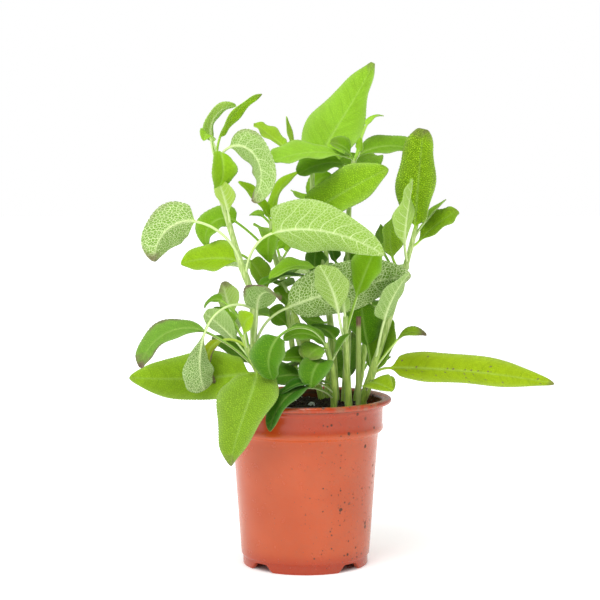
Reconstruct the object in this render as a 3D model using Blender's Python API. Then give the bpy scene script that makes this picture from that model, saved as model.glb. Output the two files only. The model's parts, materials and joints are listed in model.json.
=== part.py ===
"""A potted sage: a nursery pot with a footed skirt, its soil, and a bushy sage of leafy stems.

World: +Z up, +X to the right of the pot's front, +Y to its back; the origin is on the pot's axis at the
level it stands on. Sizes in the tables are millimetres and degrees; the meshes are metres.
"""

import math
from collections import namedtuple

import bmesh
import bpy
from mathutils import Matrix, Vector

MM = 0.001
GAP = 0.3                      # clearance between touching pieces

# ---------------------------------------------------------------- driving dimensions: the pot
POT_HEIGHT = 102.0
LIP_RADIUS = 52.5              # a 10.5 cm herb pot, measured over its lip
LIP_THICK = 3.2                # the rolled lip, top to bottom
COLLAR_RADIUS = 47.5           # the straight band below the lip
COLLAR_DROP = 16.5             # lip top to the lower end of the band
BODY_TOP_RADIUS = 44.6
BODY_FOOT_RADIUS = 39.2
BODY_EDGE = 6.0                # the lower edge of the body, where the foot ring steps in
WALL = 1.2
FLOOR_UNDER = 4.6              # the underside of the floor stands this high on the feet
FLOOR_THICK = 1.6
SKIRT_RADIUS = 38.2            # the foot ring, set in from the body
SKIRT_THICK = 2.6
SLOT_TOP_ANGLE = 6.0           # four slots part the foot ring into four feet: half their angle
SLOT_GROUND_ANGLE = 15.0
GATE_BOSS_RADIUS = 8.0         # the flat moulding boss in the middle, level with the feet
DRAIN_RADIUS = 3.5
DRAIN_AT = 26.0
POT_SIDES = 36

# ---------------------------------------------------------------- driving dimensions: the soil
SOIL_TOP = 96.0
SOIL_CROWN = 2.5               # it rises this much to the middle
SOIL_CREST = 22.7              # and most of it by this radius
STEM_HOLE_DEPTH = 12.0

# ---------------------------------------------------------------- driving dimensions: leaves
BLADE_THICK = 0.8
PETIOLE_RADIUS = 0.85
EDGE_WAVE = 0.045              # the edges wave up and down by this share of the blade's width
BIG_BLADE = 60.0               # longer blades carry five lengthwise lines of points, shorter ones three
SMALL_BLADE = 28.0             # shorter blades have the short outline
LONG_STALK = 15.0              # longer stalks bend in two steps
USUAL_FULL = 0.38              # a blade is broadest at this share of its length
USUAL_TIP = 0.08               # its tip keeps this share of its breadth
USUAL_FOLD = 0.22              # its halves rise from the midrib by this share of their breadth
# Half width of a usual sage blade along its length, as a share of its greatest half width.
BLADE_OUTLINE = [(0.06, 0.5), (0.20, 0.85), (0.38, 1.0), (0.58, 0.93), (0.77, 0.7), (0.91, 0.4), (1.0, 0.08)]
SMALL_OUTLINE = [(0.1, 0.6), (0.42, 1.0), (0.76, 0.68), (1.0, 0.12)]

# A leafy stem: the points that its middle line passes, from the soil up, and its radius at both ends.
Stem = namedtuple("Stem", "path base_radius tip_radius leaves")

# A leaf: the height where its stalk leaves the stem, the way it heads (0 right, 90 back, 180 left,
# 270 front) and how steeply it rises; the stalk's length and how far it bows down along it; the blade's
# length, how far it bows down and how far it swings round along it; its width and its roll about the midrib.
# Where a blade isn't of the usual shape, it also gives where it is full, how blunt its tip is or its fold.
Leaf = namedtuple("Leaf", "height heading rise stalk arch blade droop sweep width roll full tip fold",
                  defaults=(USUAL_FULL, USUAL_TIP, USUAL_FOLD))

STEMS = {
    "stem_left_tall": Stem(
        [(-14, -2, 96), (-20, -4, 106), (-28, -8, 121), (-31, -10, 135), (-32, -10, 163), (-39, -8, 184),
         (-46, -4, 207), (-52, -2, 228), (-53, 0, 247)], 2.5, 1.3,
        [
            Leaf(245, 195, 80, 14, -30, 39, -50, 5, 13, -35, full=0.4),
            Leaf(243, 10, 90, 15, -25, 32, 120, 15, 13, -40, full=0.4),
            Leaf(244, 235, 50, 14, -30, 16, 150, 25, 10, -30),
            Leaf(243, 280, 90, 15, 100, 29, 160, 20, 18, -20, full=0.5),
            Leaf(243, 325, 85, 15, 65, 52, 165, -5, 26, -70, full=0.45),
            Leaf(183, 205, 75, 43, 65, 40, 105, 0, 26, 90, full=0.33, fold=0.4),
            Leaf(176, 320, 90, 37, 75, 74, 50, 50, 36, -60, full=0.24, tip=0.04),
            Leaf(181, 140, 76, 8, 68, 37, 25, 45, 24, -45),
            Leaf(155, 218, 32, 42, 98, 36, 45, -10, 22, 80, full=0.68, tip=0.35),
            Leaf(189, 35, -10, 10, 35, 21, 20, -5, 19, 65),
            Leaf(130, 350, 87, 34, 64, 80, 18, 30, 34, -68, full=0.42),
            Leaf(135, 285, 55, 23, -30, 31, 135, 40, 21, -20),
            Leaf(206, 240, 90, 8, 20, 24, 10, -15, 15, 0, full=0.62, tip=0.2),
        ]),
    "stem_left_low": Stem(
        [(-17, -15, 96), (-20, -17, 104), (-27, -21, 117), (-33, -22, 129), (-37, -20, 141)], 1.9, 1.3,
        [
            Leaf(119, 265, 40, 11, 70, 63, 50, -50, 36, 0, full=0.36),
            Leaf(121, 190, 50, 38, 25, 51, 105, 0, 20, -30, full=0.5, tip=0.2),
            Leaf(135, 125, 40, 23, -15, 23, -15, 0, 16, 105, full=0.5, tip=0.25),
            Leaf(126, 155, 50, 15, 5, 27, 10, 20, 20, 55, full=0.5, tip=0.3),
            Leaf(134, 255, 40, 11, -30, 18, 50, 80, 14, 100, full=0.5),
            Leaf(115, 165, 65, 9, 75, 74, -15, 25, 32, -60, full=0.34),
            Leaf(139, 135, 40, 14, -10, 17, 40, 25, 13, -5),
            Leaf(126, 170, 85, 25, 100, 32, 130, -10, 11, -55, full=0.5, tip=0.3),
            Leaf(132, 150, 90, 37, 65, 14, 95, 15, 10, -25),
        ]),
    "stem_centre_left": Stem(
        [(10, 14, 96), (4, 14, 123), (-9, 14, 157), (-19, 14, 188), (-21, 12, 209)], 1.9, 1.2,
        [
            Leaf(208, 205, 75, 4, 15, 30, 25, -5, 14, -40),
            Leaf(206, 0, 65, 4, -30, 36, 70, 0, 14, 25),
            Leaf(202, 260, 40, 5, 75, 21, 85, 0, 20, 40),
            Leaf(183, 180, 55, 35, 20, 31, 150, 0, 22, -40),
            Leaf(206, 140, 50, 9, 20, 11, 55, 10, 8, -20),
            Leaf(204, 50, 75, 11, 25, 11, 40, -10, 8, 0),
            Leaf(148, 220, 65, 10, 10, 16, 30, -10, 14, -60),
            Leaf(162, 255, 50, 8, 10, 22, 60, 0, 16, 0),
            Leaf(122, 235, 20, 9, -30, 29, -30, -10, 16, -15),
            Leaf(194, 340, 45, 23, 10, 64, 10, 10, 30, 60, full=0.45),
        ]),
    "stem_centre_back": Stem(
        [(19, 20, 96), (16, 22, 141), (10, 22, 183), (5, 22, 212), (4, 20, 244)], 2.2, 1.2,
        [
            Leaf(242, 60, 15, 8, -30, 75, -20, -70, 37, 30, full=0.31, tip=0.26),
            Leaf(237, 145, 55, 24, 25, 29, -10, 20, 20, -10, full=0.6, tip=0.3),
            Leaf(240, 135, 25, 22, -30, 19, -35, 0, 9, 25),
            Leaf(168, 215, 40, 13, -30, 17, -50, -15, 20, -70),
        ]),
    "stem_centre": Stem(
        [(24, 5, 96), (26, 8, 136), (26, 10, 184), (27, 14, 222), (30, 16, 247)], 2.2, 1.2,
        [
            Leaf(244, 215, 65, 4, 50, 55, 35, -10, 24, -25, full=0.6, tip=0.35),
            Leaf(238, 200, 90, 9, 80, 31, 45, 0, 22, -30, full=0.5, tip=0.2),
            Leaf(243, 200, 90, 7, 35, 15, 55, -10, 18, -35, full=0.45),
            Leaf(243, 25, 90, 7, 60, 44, 60, -30, 22, 30, full=0.5),
            Leaf(234, 75, -5, 8, -30, 39, 5, 20, 30, 0, full=0.5, tip=0.3),
            Leaf(245, 310, 40, 8, -25, 9, -30, 0, 9, 80),
            Leaf(242, 40, 75, 28, 15, 16, 70, -10, 6, 5),
            Leaf(174, 330, 90, 6, 5, 20, 85, 0, 18, 50),
            Leaf(176, 170, 30, 11, -30, 14, -50, 0, 16, -20),
            Leaf(168, 220, 28, 28, 5, 34, 65, -30, 20, -15),
            Leaf(169, 210, 20, 31, 10, 33, 45, -15, 18, -5, full=0.5),
            Leaf(150, 190, 45, 8, 20, 24, 50, 0, 18, -20),
        ]),
    "stem_right": Stem(
        [(35, 0, 96), (42, 0, 121), (50, 2, 146), (56, 4, 165), (63, 6, 188), (68, 6, 208)], 2.3, 1.2,
        [
            Leaf(202, 305, 65, 4, -20, 60, 5, 0, 30, 100, full=0.4, tip=0.32),
            Leaf(184, 260, 25, 15, -30, 45, -25, 55, 24, 40, full=0.6, tip=0.35),
            Leaf(193, 15, 15, 5, -30, 32, 15, -5, 20, 25, full=0.6, tip=0.25),
            Leaf(197, 30, 60, 15, 15, 20, 5, -10, 12, -10),
            Leaf(176, 155, 40, 12, -30, 29, -50, 10, 25, -15, full=0.5, tip=0.2),
            Leaf(174, 140, 35, 26, -30, 13, -50, 0, 12, 10),
            Leaf(123, 300, 75, 28, 10, 37, 20, 25, 20, 5),
            Leaf(112, 40, 65, 5, 5, 36, -10, -10, 21, 10, full=0.5),
            Leaf(118, 345, 55, 25, 5, 20, 80, 5, 10, 25, full=0.5),
            Leaf(107, 0, 90, 21, 90, 101, 10, -10, 24, 45, full=0.34),
            Leaf(104, 280, 45, 15, 30, 25, 40, 45, 17, 25),
            Leaf(110, 305, 35, 8, 20, 17, 75, 10, 14, 10),
            Leaf(117, 150, 80, 16, 5, 28, 0, -60, 24, -5, full=0.45, tip=0.2),
        ]),
    "stem_front": Stem(
        [(26, -14, 96), (25, -14, 119), (24, -16, 138), (24, -18, 153)], 2.2, 1.3,
        [
            Leaf(136, 250, 45, 23, -20, 34, 10, -45, 22, 20, full=0.6, tip=0.2),
            Leaf(141, 330, 75, 24, 5, 33, 5, 15, 22, 70, full=0.6, tip=0.25),
            Leaf(131, 125, 20, 14, -25, 20, 50, 55, 14, -10),
            Leaf(151, 250, 70, 5, 0, 14, 10, 0, 8, 0),
        ]),
    "stem_front_low": Stem(
        [(17, -20, 96), (17, -20, 112), (15, -20, 126), (12, -20, 137)], 1.9, 1.3,
        [
            Leaf(135, 220, 60, 42, 95, 28, 90, -10, 25, -15, full=0.42),
            Leaf(132, 220, 70, 4, 60, 15, 70, -5, 18, -20, full=0.6, tip=0.4),
            Leaf(125, 320, 60, 5, 0, 18, 20, 0, 14, 40),
            Leaf(124, 240, 40, 8, 30, 26, 100, 0, 20, -10, full=0.45),
            Leaf(122, 180, 30, 8, 5, 24, 40, 10, 18, -25, full=0.5),
            Leaf(112, 190, 20, 21, 10, 24, 35, 10, 20, -30),
            Leaf(103, 226, 40, 24, 35, 42, 85, -10, 18, -5),
            Leaf(107, 225, 45, 13, 25, 31, 55, -20, 12, -10),
            Leaf(132, 175, 70, 4, 15, 28, 95, 10, 18, -25, full=0.5),
        ]),
    "stem_dry_stub": Stem([(32, -10, 96), (32, -10, 126), (32, -10, 152)], 1.6, 1.4, []),
    "stem_back_left": Stem(
        [(-5, 26, 96), (-7, 28, 120), (-12, 31, 160), (-16, 32, 186)], 2.0, 1.2,
        [
            Leaf(184, 110, 60, 8, 20, 38, 40, 0, 22, 15),
            Leaf(182, 40, 60, 8, 10, 26, 40, 20, 16, -20),
            Leaf(168, 150, 25, 14, 0, 36, 35, -20, 24, 20),
            Leaf(166, 75, 50, 14, 30, 46, 45, 0, 26, -15),
            Leaf(144, 140, 20, 18, 10, 34, 80, 10, 22, -10),
            Leaf(141, 190, 65, 4, 15, 15, 20, -5, 18, -45, full=0.5),
            Leaf(118, 200, -10, 15, -30, 43, -10, -5, 20, -40, full=0.5),
            Leaf(112, 250, 50, 10, 20, 24, 60, 0, 18, 0),
        ]),
    "stem_back": Stem(
        [(14, 34, 96), (16, 39, 130), (14, 44, 175), (11, 44, 208)], 2.1, 1.2,
        [
            Leaf(206, 130, 65, 6, 20, 32, 30, 0, 20, 10),
            Leaf(204, 355, 90, 17, -30, 22, 135, 10, 15, 40),
            Leaf(186, 85, 55, 14, 40, 46, 35, 10, 28, -20),
            Leaf(166, 70, 20, 14, 0, 44, 55, 0, 26, 20),
            Leaf(146, 210, -25, 4, -30, 18, -25, -15, 18, -40, full=0.5),
            Leaf(106, 340, 15, 7, -30, 32, -50, 0, 22, 60, full=0.45),
        ]),
    "stem_back_right": Stem(
        [(32, 21, 96), (36, 26, 122), (40, 32, 155), (42, 34, 186)], 2.0, 1.2,
        [
            Leaf(184, 120, 60, 6, 20, 28, 30, 0, 18, -15),
            Leaf(182, 50, 60, 8, 10, 24, 40, 20, 14, 15),
            Leaf(164, 55, 50, 14, 30, 38, 40, 20, 24, -25),
            Leaf(148, 85, 25, 16, 0, 42, 80, 0, 24, 15),
            Leaf(128, 75, 40, 20, 20, 38, 75, 20, 24, -15),
            Leaf(112, 70, 25, 16, 0, 36, 60, 20, 22, 20),
        ]),
}

# ---------------------------------------------------------------- helpers


def clear_scene():
    for obj in list(bpy.data.objects):
        bpy.data.objects.remove(obj, do_unlink=True)


def material(name, rgb, roughness):
    """A Principled material of one colour, given as 0-255 sRGB."""
    made = bpy.data.materials.new(name)
    made.use_nodes = True
    shader = made.node_tree.nodes["Principled BSDF"]
    linear = [(c / 255 / 12.92) if c < 10 else ((c / 255 + 0.055) / 1.055) ** 2.4 for c in rgb]
    shader.inputs["Base Color"].default_value = (*linear, 1.0)
    shader.inputs["Roughness"].default_value = roughness
    made.diffuse_color = (*linear, 1.0)
    return made


def object_from(bm, name, mat=None):
    bmesh.ops.recalc_face_normals(bm, faces=bm.faces)
    mesh = bpy.data.meshes.new(name)
    bm.to_mesh(mesh)
    bm.free()
    obj = bpy.data.objects.new(name, mesh)
    bpy.context.scene.collection.objects.link(obj)
    if mat:
        mesh.materials.append(mat)
    return obj


def apply_boolean(obj, others, operation):
    """Join or cut obj with a list of closed objects in one EXACT Boolean, then remove them."""
    tools = bpy.data.collections.new(obj.name + "_tools")
    for other in others:
        tools.objects.link(other)
    modifier = obj.modifiers.new(operation.lower(), "BOOLEAN")
    modifier.operation = operation
    modifier.operand_type = "COLLECTION"
    modifier.collection = tools
    modifier.solver = "EXACT"
    graph = bpy.context.evaluated_depsgraph_get()
    result = bpy.data.meshes.new_from_object(obj.evaluated_get(graph))
    obj.modifiers.remove(modifier)
    obj.data = result
    for other in others:
        bpy.data.objects.remove(other, do_unlink=True)
    bpy.data.collections.remove(tools)


def turned(profile, name, sides, mat=None):
    """A closed (radius, height) profile in mm, turned about Z; the profile may start and end on the axis."""
    bm = bmesh.new()
    rings = []
    for radius, height in profile:
        if radius == 0:
            rings.append([bm.verts.new((0, 0, height * MM))])
            continue
        ring = []
        for i in range(sides):
            angle = 2 * math.pi * i / sides
            ring.append(bm.verts.new((radius * MM * math.cos(angle), radius * MM * math.sin(angle), height * MM)))
        rings.append(ring)
    pairs = list(zip(rings, rings[1:]))
    if profile[0][0] and profile[-1][0]:
        pairs.append((rings[-1], rings[0]))
    for low, high in pairs:
        for i in range(sides):
            j = (i + 1) % sides
            corners = [low[i % len(low)], low[j % len(low)], high[j % len(high)], high[i % len(high)]]
            bm.faces.new(list(dict.fromkeys(corners)))
    return object_from(bm, name, mat)


def cylinder(name, radius, low, high, at, sides=24):
    bm = bmesh.new()
    place = Matrix.Translation(Vector((at[0], at[1], (low + high) / 2)) * MM) @ Matrix.Rotation(0.17, 4, "Z")
    bmesh.ops.create_cone(bm, cap_ends=True, segments=sides, radius1=radius * MM, radius2=radius * MM,
                          depth=(high - low) * MM, matrix=place)
    return object_from(bm, name)


def quarter(centre, radius, start, end, steps=4):
    """Points of an arc in the (radius, height) plane, from the start to the end angle."""
    points = []
    for i in range(steps + 1):
        angle = math.radians(start + (end - start) * i / steps)
        points.append((centre[0] + radius * math.cos(angle), centre[1] + radius * math.sin(angle)))
    return points


# ---------------------------------------------------------------- the pot


def make_pot():
    """The moulded pot: rolled lip, straight collar, a bead stepping in to the tapered wall, and the foot ring."""
    lip_low = POT_HEIGHT - LIP_THICK
    band_low = POT_HEIGHT - COLLAR_DROP
    floor_top = FLOOR_UNDER + FLOOR_THICK
    profile = []
    profile += [(0, FLOOR_UNDER), (SKIRT_RADIUS, FLOOR_UNDER), (SKIRT_RADIUS, BODY_EDGE)]
    profile += [(BODY_FOOT_RADIUS - 0.7, BODY_EDGE), (BODY_FOOT_RADIUS, BODY_EDGE + 0.9)]
    profile += [(BODY_TOP_RADIUS, band_low - 4.6)]
    profile += quarter((COLLAR_RADIUS - 2.4, band_low - 1.6), 2.4, -75, 0, 2)
    profile += [(COLLAR_RADIUS - 0.2, lip_low - 3.0), (COLLAR_RADIUS, lip_low - 2.6)]
    profile += quarter((COLLAR_RADIUS + 1.2, lip_low - 1.2), 1.2, 180, 90, 2)
    profile += quarter((LIP_RADIUS - LIP_THICK / 2, POT_HEIGHT - LIP_THICK / 2), LIP_THICK / 2, -90, 90, 4)
    profile += quarter((LIP_RADIUS - 3.4, POT_HEIGHT - 2.8), 2.8, 90, 180, 2)
    profile += [(COLLAR_RADIUS - WALL - 0.2, lip_low - 3.0), (COLLAR_RADIUS - WALL - 0.4, band_low + 0.8)]
    profile += [(BODY_TOP_RADIUS - WALL, band_low - 3.6), (BODY_FOOT_RADIUS - WALL, floor_top + 1.0)]
    profile += [(BODY_FOOT_RADIUS - WALL - 1.0, floor_top), (0, floor_top)]
    pot = turned(profile, "pot", POT_SIDES, material("terracotta_plastic", (214, 104, 62), 0.42))

    inner = SKIRT_RADIUS - SKIRT_THICK
    skirt = [(inner, FLOOR_UNDER + 0.6), (inner, 0)]
    skirt += quarter((SKIRT_RADIUS - 2.2, 2.2), 2.2, -90, 0, 2)
    skirt += [(SKIRT_RADIUS, FLOOR_UNDER + 0.6)]
    ring = turned(skirt, "skirt", POT_SIDES)
    slots = []
    for corner in (45, 135, 225, 315):
        slots.append(slot_wedge(corner))
    apply_boolean(ring, slots, "DIFFERENCE")
    boss = cylinder("boss", GATE_BOSS_RADIUS, 0, FLOOR_UNDER + 0.6, (0, 0), 20)
    apply_boolean(pot, [ring, boss], "UNION")

    drains = []
    for corner in (45, 135, 225, 315):
        turn = math.radians(corner)
        at = (DRAIN_AT * math.cos(turn), DRAIN_AT * math.sin(turn))
        drains.append(cylinder("drain", DRAIN_RADIUS, FLOOR_UNDER - 2, floor_top + 2, at, 10))
    apply_boolean(pot, drains, "DIFFERENCE")
    shade(pot, 35)
    return pot


def slot_wedge(corner):
    """A wedge of the foot ring to cut away, from below the ground to the floor, wider below than above."""
    bm = bmesh.new()
    rings = []
    for height, half in ((-1.0, SLOT_GROUND_ANGLE + 2), (FLOOR_UNDER, SLOT_TOP_ANGLE)):
        ring = []
        for radius, side in ((20, -1), (60, -1), (60, 1), (20, 1)):
            angle = math.radians(corner + side * half)
            ring.append(bm.verts.new((radius * MM * math.cos(angle), radius * MM * math.sin(angle), height * MM)))
        rings.append(ring)
    bm.faces.new(reversed(rings[0]))
    bm.faces.new(rings[1])
    for i in range(4):
        bm.faces.new((rings[0][i], rings[0][(i + 1) % 4], rings[1][(i + 1) % 4], rings[1][i]))
    return object_from(bm, "slot")


def shade(obj, angle):
    obj.data.shade_smooth()
    obj.data.set_sharp_from_angle(angle=math.radians(angle))


# ---------------------------------------------------------------- the soil


def make_soil():
    """The potting soil fills the pot to a low crown, with a plain hole for each stem."""
    band_low = POT_HEIGHT - COLLAR_DROP
    floor_top = FLOOR_UNDER + FLOOR_THICK + GAP
    foot = BODY_FOOT_RADIUS - WALL - GAP
    top = BODY_TOP_RADIUS - WALL - GAP
    collar = COLLAR_RADIUS - WALL - 0.4 - GAP
    profile = [(0, floor_top), (foot - 1.4, floor_top), (foot - 0.4, floor_top + 1.2), (top - 0.2, band_low - 4.0),
               (top + 0.1, band_low - 3.0), (collar - 0.3, SOIL_TOP - 1.5),
               (SOIL_CREST, SOIL_TOP + SOIL_CROWN * 0.7), (0, SOIL_TOP + SOIL_CROWN)]
    soil = turned(profile, "soil", 32, material("potting_soil", (44, 34, 28), 0.95))
    holes = []
    for stem in STEMS.values():
        at = stem.path[0][:2]
        holes.append(cylinder("hole", stem.base_radius + GAP, SOIL_TOP - STEM_HOLE_DEPTH - GAP, SOIL_TOP + 12, at, 8))
    apply_boolean(soil, holes, "DIFFERENCE")
    return soil


# ---------------------------------------------------------------- leafy stems


def smooth_path(points, per_span):
    """A Catmull-Rom curve through the points, per_span steps between each two."""
    points = [Vector(p) for p in points]
    ends = [2 * points[0] - points[1]] + points + [2 * points[-1] - points[-2]]
    curve = []
    for a, b, c, d in zip(ends, ends[1:], ends[2:], ends[3:]):
        for i in range(per_span):
            t = i / per_span
            curve.append(0.5 * (2 * b + (c - a) * t + (2 * a - 5 * b + 4 * c - d) * t * t
                                + (3 * b - a - 3 * c + d) * t ** 3))
    curve.append(points[-1])
    return curve


def stem_line(stem, per_span=2):
    """The stem's middle line: straight down its hole in the soil, then along its path."""
    x, y, ground = stem.path[0]
    foot = [Vector((x, y, ground - STEM_HOLE_DEPTH))]
    return foot + smooth_path([(x, y, ground + 3)] + list(stem.path[1:]), per_span)


def loft(rings, name):
    """A closed solid through rings of equal count, each face split along the same diagonal."""
    bm = bmesh.new()
    made = []
    for ring in rings:
        made.append([bm.verts.new(point * MM) for point in ring])
    count = len(made[0])
    for low, high in zip(made, made[1:]):
        for i in range(count // 2):
            j = count - 1 - i
            # The same corner pair is joined on the lower face and on the upper face above it.
            if i < count // 2 - 1:
                split(bm, low[i], low[i + 1], high[i + 1], high[i])
                split(bm, low[j], low[j - 1], high[j - 1], high[j])
        split(bm, low[0], low[count - 1], high[count - 1], high[0])
        split(bm, low[count // 2 - 1], low[count // 2], high[count // 2], high[count // 2 - 1])
    bm.faces.new(made[0])
    bm.faces.new(made[-1])
    bmesh.ops.triangulate(bm, faces=[f for f in bm.faces if len(f.verts) > 4])
    return object_from(bm, name)


def split(bm, a, b, c, d):
    bm.faces.new((a, b, c))
    bm.faces.new((a, c, d))


def stem_solid(stem, sides=6):
    line = stem_line(stem)
    rings = []
    side = Vector((1, 0, 0))
    for i, point in enumerate(line):
        along = (line[min(i + 1, len(line) - 1)] - line[max(i - 1, 0)]).normalized()
        side = (side - along * side.dot(along)).normalized()
        other = along.cross(side)
        share = i / (len(line) - 1)
        radius = stem.base_radius + (stem.tip_radius - stem.base_radius) * share
        ring = []
        for k in range(sides):
            angle = 2 * math.pi * k / sides
            ring.append(point + radius * (math.cos(angle) * side + math.sin(angle) * other))
        rings.append(ring)
    return loft(rings, "stem")


def point_at_height(stem, height):
    line = stem_line(stem, 12)
    return min(line, key=lambda p: abs(p.z - height))


def leaf_frames(root, leaf, stalk_steps, blade_steps):
    """(point, side, normal) along the midrib: the stalk first, then the blade at the given shares of its length."""
    def step(point, length, share_from, share_to, bow, swing, base_rise, base_heading):
        middle = (share_from + share_to) / 2
        rise = math.radians(base_rise - bow * middle)
        heading = math.radians(base_heading + swing * middle)
        along = Vector((math.cos(rise) * math.cos(heading), math.cos(rise) * math.sin(heading), math.sin(rise)))
        return point + along * length * (share_to - share_from)

    def frame(point, rise, heading):
        rise, heading, roll = math.radians(rise), math.radians(heading), math.radians(leaf.roll)
        along = Vector((math.cos(rise) * math.cos(heading), math.cos(rise) * math.sin(heading), math.sin(rise)))
        level = Vector((math.sin(heading), -math.cos(heading), 0))
        upper = level.cross(along)
        return point, level * math.cos(roll) - upper * math.sin(roll), upper * math.cos(roll) + level * math.sin(roll)

    point = Vector(root)
    frames = [frame(point, leaf.rise, leaf.heading)]
    fine = 6
    for i in range(1, stalk_steps * fine + 1):
        low, high = (i - 1) / (stalk_steps * fine), i / (stalk_steps * fine)
        point = step(point, leaf.stalk, low, high, leaf.arch, 0, leaf.rise, leaf.heading)
        if i % fine == 0:
            frames.append(frame(point, leaf.rise - leaf.arch * high, leaf.heading))
    rise = leaf.rise - leaf.arch
    low = 0.0
    for share in blade_steps:
        for i in range(1, fine + 1):
            high_part = low + (share - low) * i / fine
            low_part = low + (share - low) * (i - 1) / fine
            point = step(point, leaf.blade, low_part, high_part, leaf.droop, leaf.sweep, rise, leaf.heading)
        frames.append(frame(point, rise - leaf.droop * share, leaf.heading + leaf.sweep * share))
        low = share
    return frames


def blade_outline(leaf):
    """(share of the blade's length, half width) pairs, drawn out to where this blade is full, and its tip."""
    outline = BLADE_OUTLINE if leaf.blade >= SMALL_BLADE else SMALL_OUTLINE
    stretch = math.log(leaf.full) / math.log(USUAL_FULL)
    return [(share ** stretch, breadth + (leaf.tip - USUAL_TIP) * share ** 3) for share, breadth in outline]


def leaf_solid(root, leaf, name="leaf"):
    """One leaf: a stalk of few sides that widens into a waved, folded blade."""
    big = leaf.blade >= BIG_BLADE
    columns = (-1, -0.5, 0, 0.5, 1) if big else (-1, 0, 1)
    outline = blade_outline(leaf)
    stalk_steps = 2 if leaf.stalk > LONG_STALK else 1
    frames = leaf_frames(root, leaf, stalk_steps, [share for share, _ in outline])
    rings = []
    for point, side, normal in frames[: stalk_steps + 1]:
        rings.append(stalk_ring(point, side, normal, columns))
    wave = EDGE_WAVE * leaf.width
    for k, ((share, breadth), (point, side, normal)) in enumerate(zip(outline, frames[stalk_steps + 1:])):
        half = leaf.width / 2 * breadth
        lower, upper = [], []
        for u in columns:
            ripple = math.sin(2.3 * k + (1.9 if u > 0 else 0) + leaf.heading)
            lift = leaf.fold * half * abs(u) + wave * abs(u) * breadth * ripple
            middle = point + side * (u * half) + normal * lift
            lower.append(middle - normal * (BLADE_THICK / 2))
            upper.append(middle + normal * (BLADE_THICK / 2))
        rings.append(lower + upper[::-1])
    return loft(rings, name)


def stalk_ring(point, side, normal, columns):
    lower, upper = [], []
    for u in columns:
        across = side * (u * PETIOLE_RADIUS * 0.85)
        depth = PETIOLE_RADIUS * math.sqrt(1 - 0.72 * u * u)
        lower.append(point + across - normal * depth)
        upper.append(point + across + normal * depth)
    return lower + upper[::-1]


def make_stem(name, stem, mat):
    body = stem_solid(stem)
    body.name = name
    leaves = []
    for leaf in stem.leaves:
        leaves.append(leaf_solid(point_at_height(stem, leaf.height), leaf))
    if leaves:
        apply_boolean(body, leaves, "UNION")
    body.data.materials.clear()
    body.data.materials.append(mat)
    shade(body, 50)
    return body


def main():
    clear_scene()
    make_pot()
    make_soil()
    sage = material("sage_leaf", (122, 158, 82), 0.75)
    dry = material("dry_stem", (150, 125, 84), 0.85)
    for name, stem in STEMS.items():
        make_stem(name, stem, sage if stem.leaves else dry)


main()
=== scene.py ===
"""A potted sage: a moulded plastic nursery pot, its potting soil, and a bushy common sage.

The sections follow the way it is put together: the pot, the soil, the leafy stems and the dry stub of a cut
stem, and last the floor, lights and camera. Values are millimetres and degrees; meshes take metres.
"""
import json
import math
from collections import namedtuple

import bmesh
import bpy
import numpy as np
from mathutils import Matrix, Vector
from mathutils.noise import noise as lump_noise

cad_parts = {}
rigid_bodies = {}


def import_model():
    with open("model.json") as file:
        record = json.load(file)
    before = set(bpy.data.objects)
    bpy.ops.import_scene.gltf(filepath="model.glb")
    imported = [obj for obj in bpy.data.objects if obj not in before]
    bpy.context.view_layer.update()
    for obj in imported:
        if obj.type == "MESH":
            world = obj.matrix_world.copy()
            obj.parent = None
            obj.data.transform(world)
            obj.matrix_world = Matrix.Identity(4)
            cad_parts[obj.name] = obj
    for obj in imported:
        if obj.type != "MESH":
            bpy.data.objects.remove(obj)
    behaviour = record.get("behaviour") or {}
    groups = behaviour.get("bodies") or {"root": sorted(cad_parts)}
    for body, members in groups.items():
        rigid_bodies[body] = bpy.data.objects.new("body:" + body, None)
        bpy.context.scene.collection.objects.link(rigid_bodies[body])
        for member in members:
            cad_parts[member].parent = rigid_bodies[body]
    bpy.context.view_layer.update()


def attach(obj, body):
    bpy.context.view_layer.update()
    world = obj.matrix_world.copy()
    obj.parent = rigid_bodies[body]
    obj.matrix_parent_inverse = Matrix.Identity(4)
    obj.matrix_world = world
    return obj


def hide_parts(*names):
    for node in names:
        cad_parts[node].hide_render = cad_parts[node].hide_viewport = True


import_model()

# ---------------- the pot
# A 10.5 cm round herb pot, injection-moulded in one shot from terracotta-coloured polypropylene. A rolled lip
# and a straight collar stiffen the thin wall, and a foot ring, parted by four slots, lets it drain.
MM = 0.001
POT_HEIGHT = 102.0
LIP_RADIUS = 52.5
LIP_THICK = 3.2
LIP_INNER_ROUND = 2.8
COLLAR_RADIUS = 47.5
COLLAR_DROP = 16.5
BEAD_ROUND = 2.4
BODY_TOP_RADIUS = 44.6
BODY_FOOT_RADIUS = 39.2
BODY_EDGE = 6.0
BODY_ROUND = 0.9
WALL = 1.2
FLOOR_UNDER = 4.6
FLOOR_THICK = 1.6
SKIRT_RADIUS = 38.2
SKIRT_THICK = 2.6
SKIRT_ROUND = 0.8
SKIRT_INNER_ROUND = 0.5
SLOT_TOP_ANGLE = 6.0  # half the angle of a slot under the floor
SLOT_GROUND_ANGLE = 14.0  # and on the ground
BOSS_RADIUS = 8.0
BOSS_EDGE = 0.4
DRAIN_RADIUS = 3.5
DRAIN_AT = 26.0
POT_SIDES = 240
POT_STEP = 4.0


def arc(centre, radius, start, end, steps):
    """Points of an arc in the (radius, height) plane, from the start to the end angle in degrees."""
    turns = np.radians(np.linspace(start, end, steps + 1))
    return [(centre[0] + radius * math.cos(t), centre[1] + radius * math.sin(t)) for t in turns]


def fine(profile, longest):
    """The same (radius, height) line with its long spans cut into steps of at most this length."""
    made = [profile[0]]
    for start, end in zip(profile, profile[1:]):
        steps = max(1, math.ceil(math.dist(start, end) / longest))
        for i in range(1, steps + 1):
            made.append(tuple(a + (b - a) * i / steps for a, b in zip(start, end)))
    return made


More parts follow.
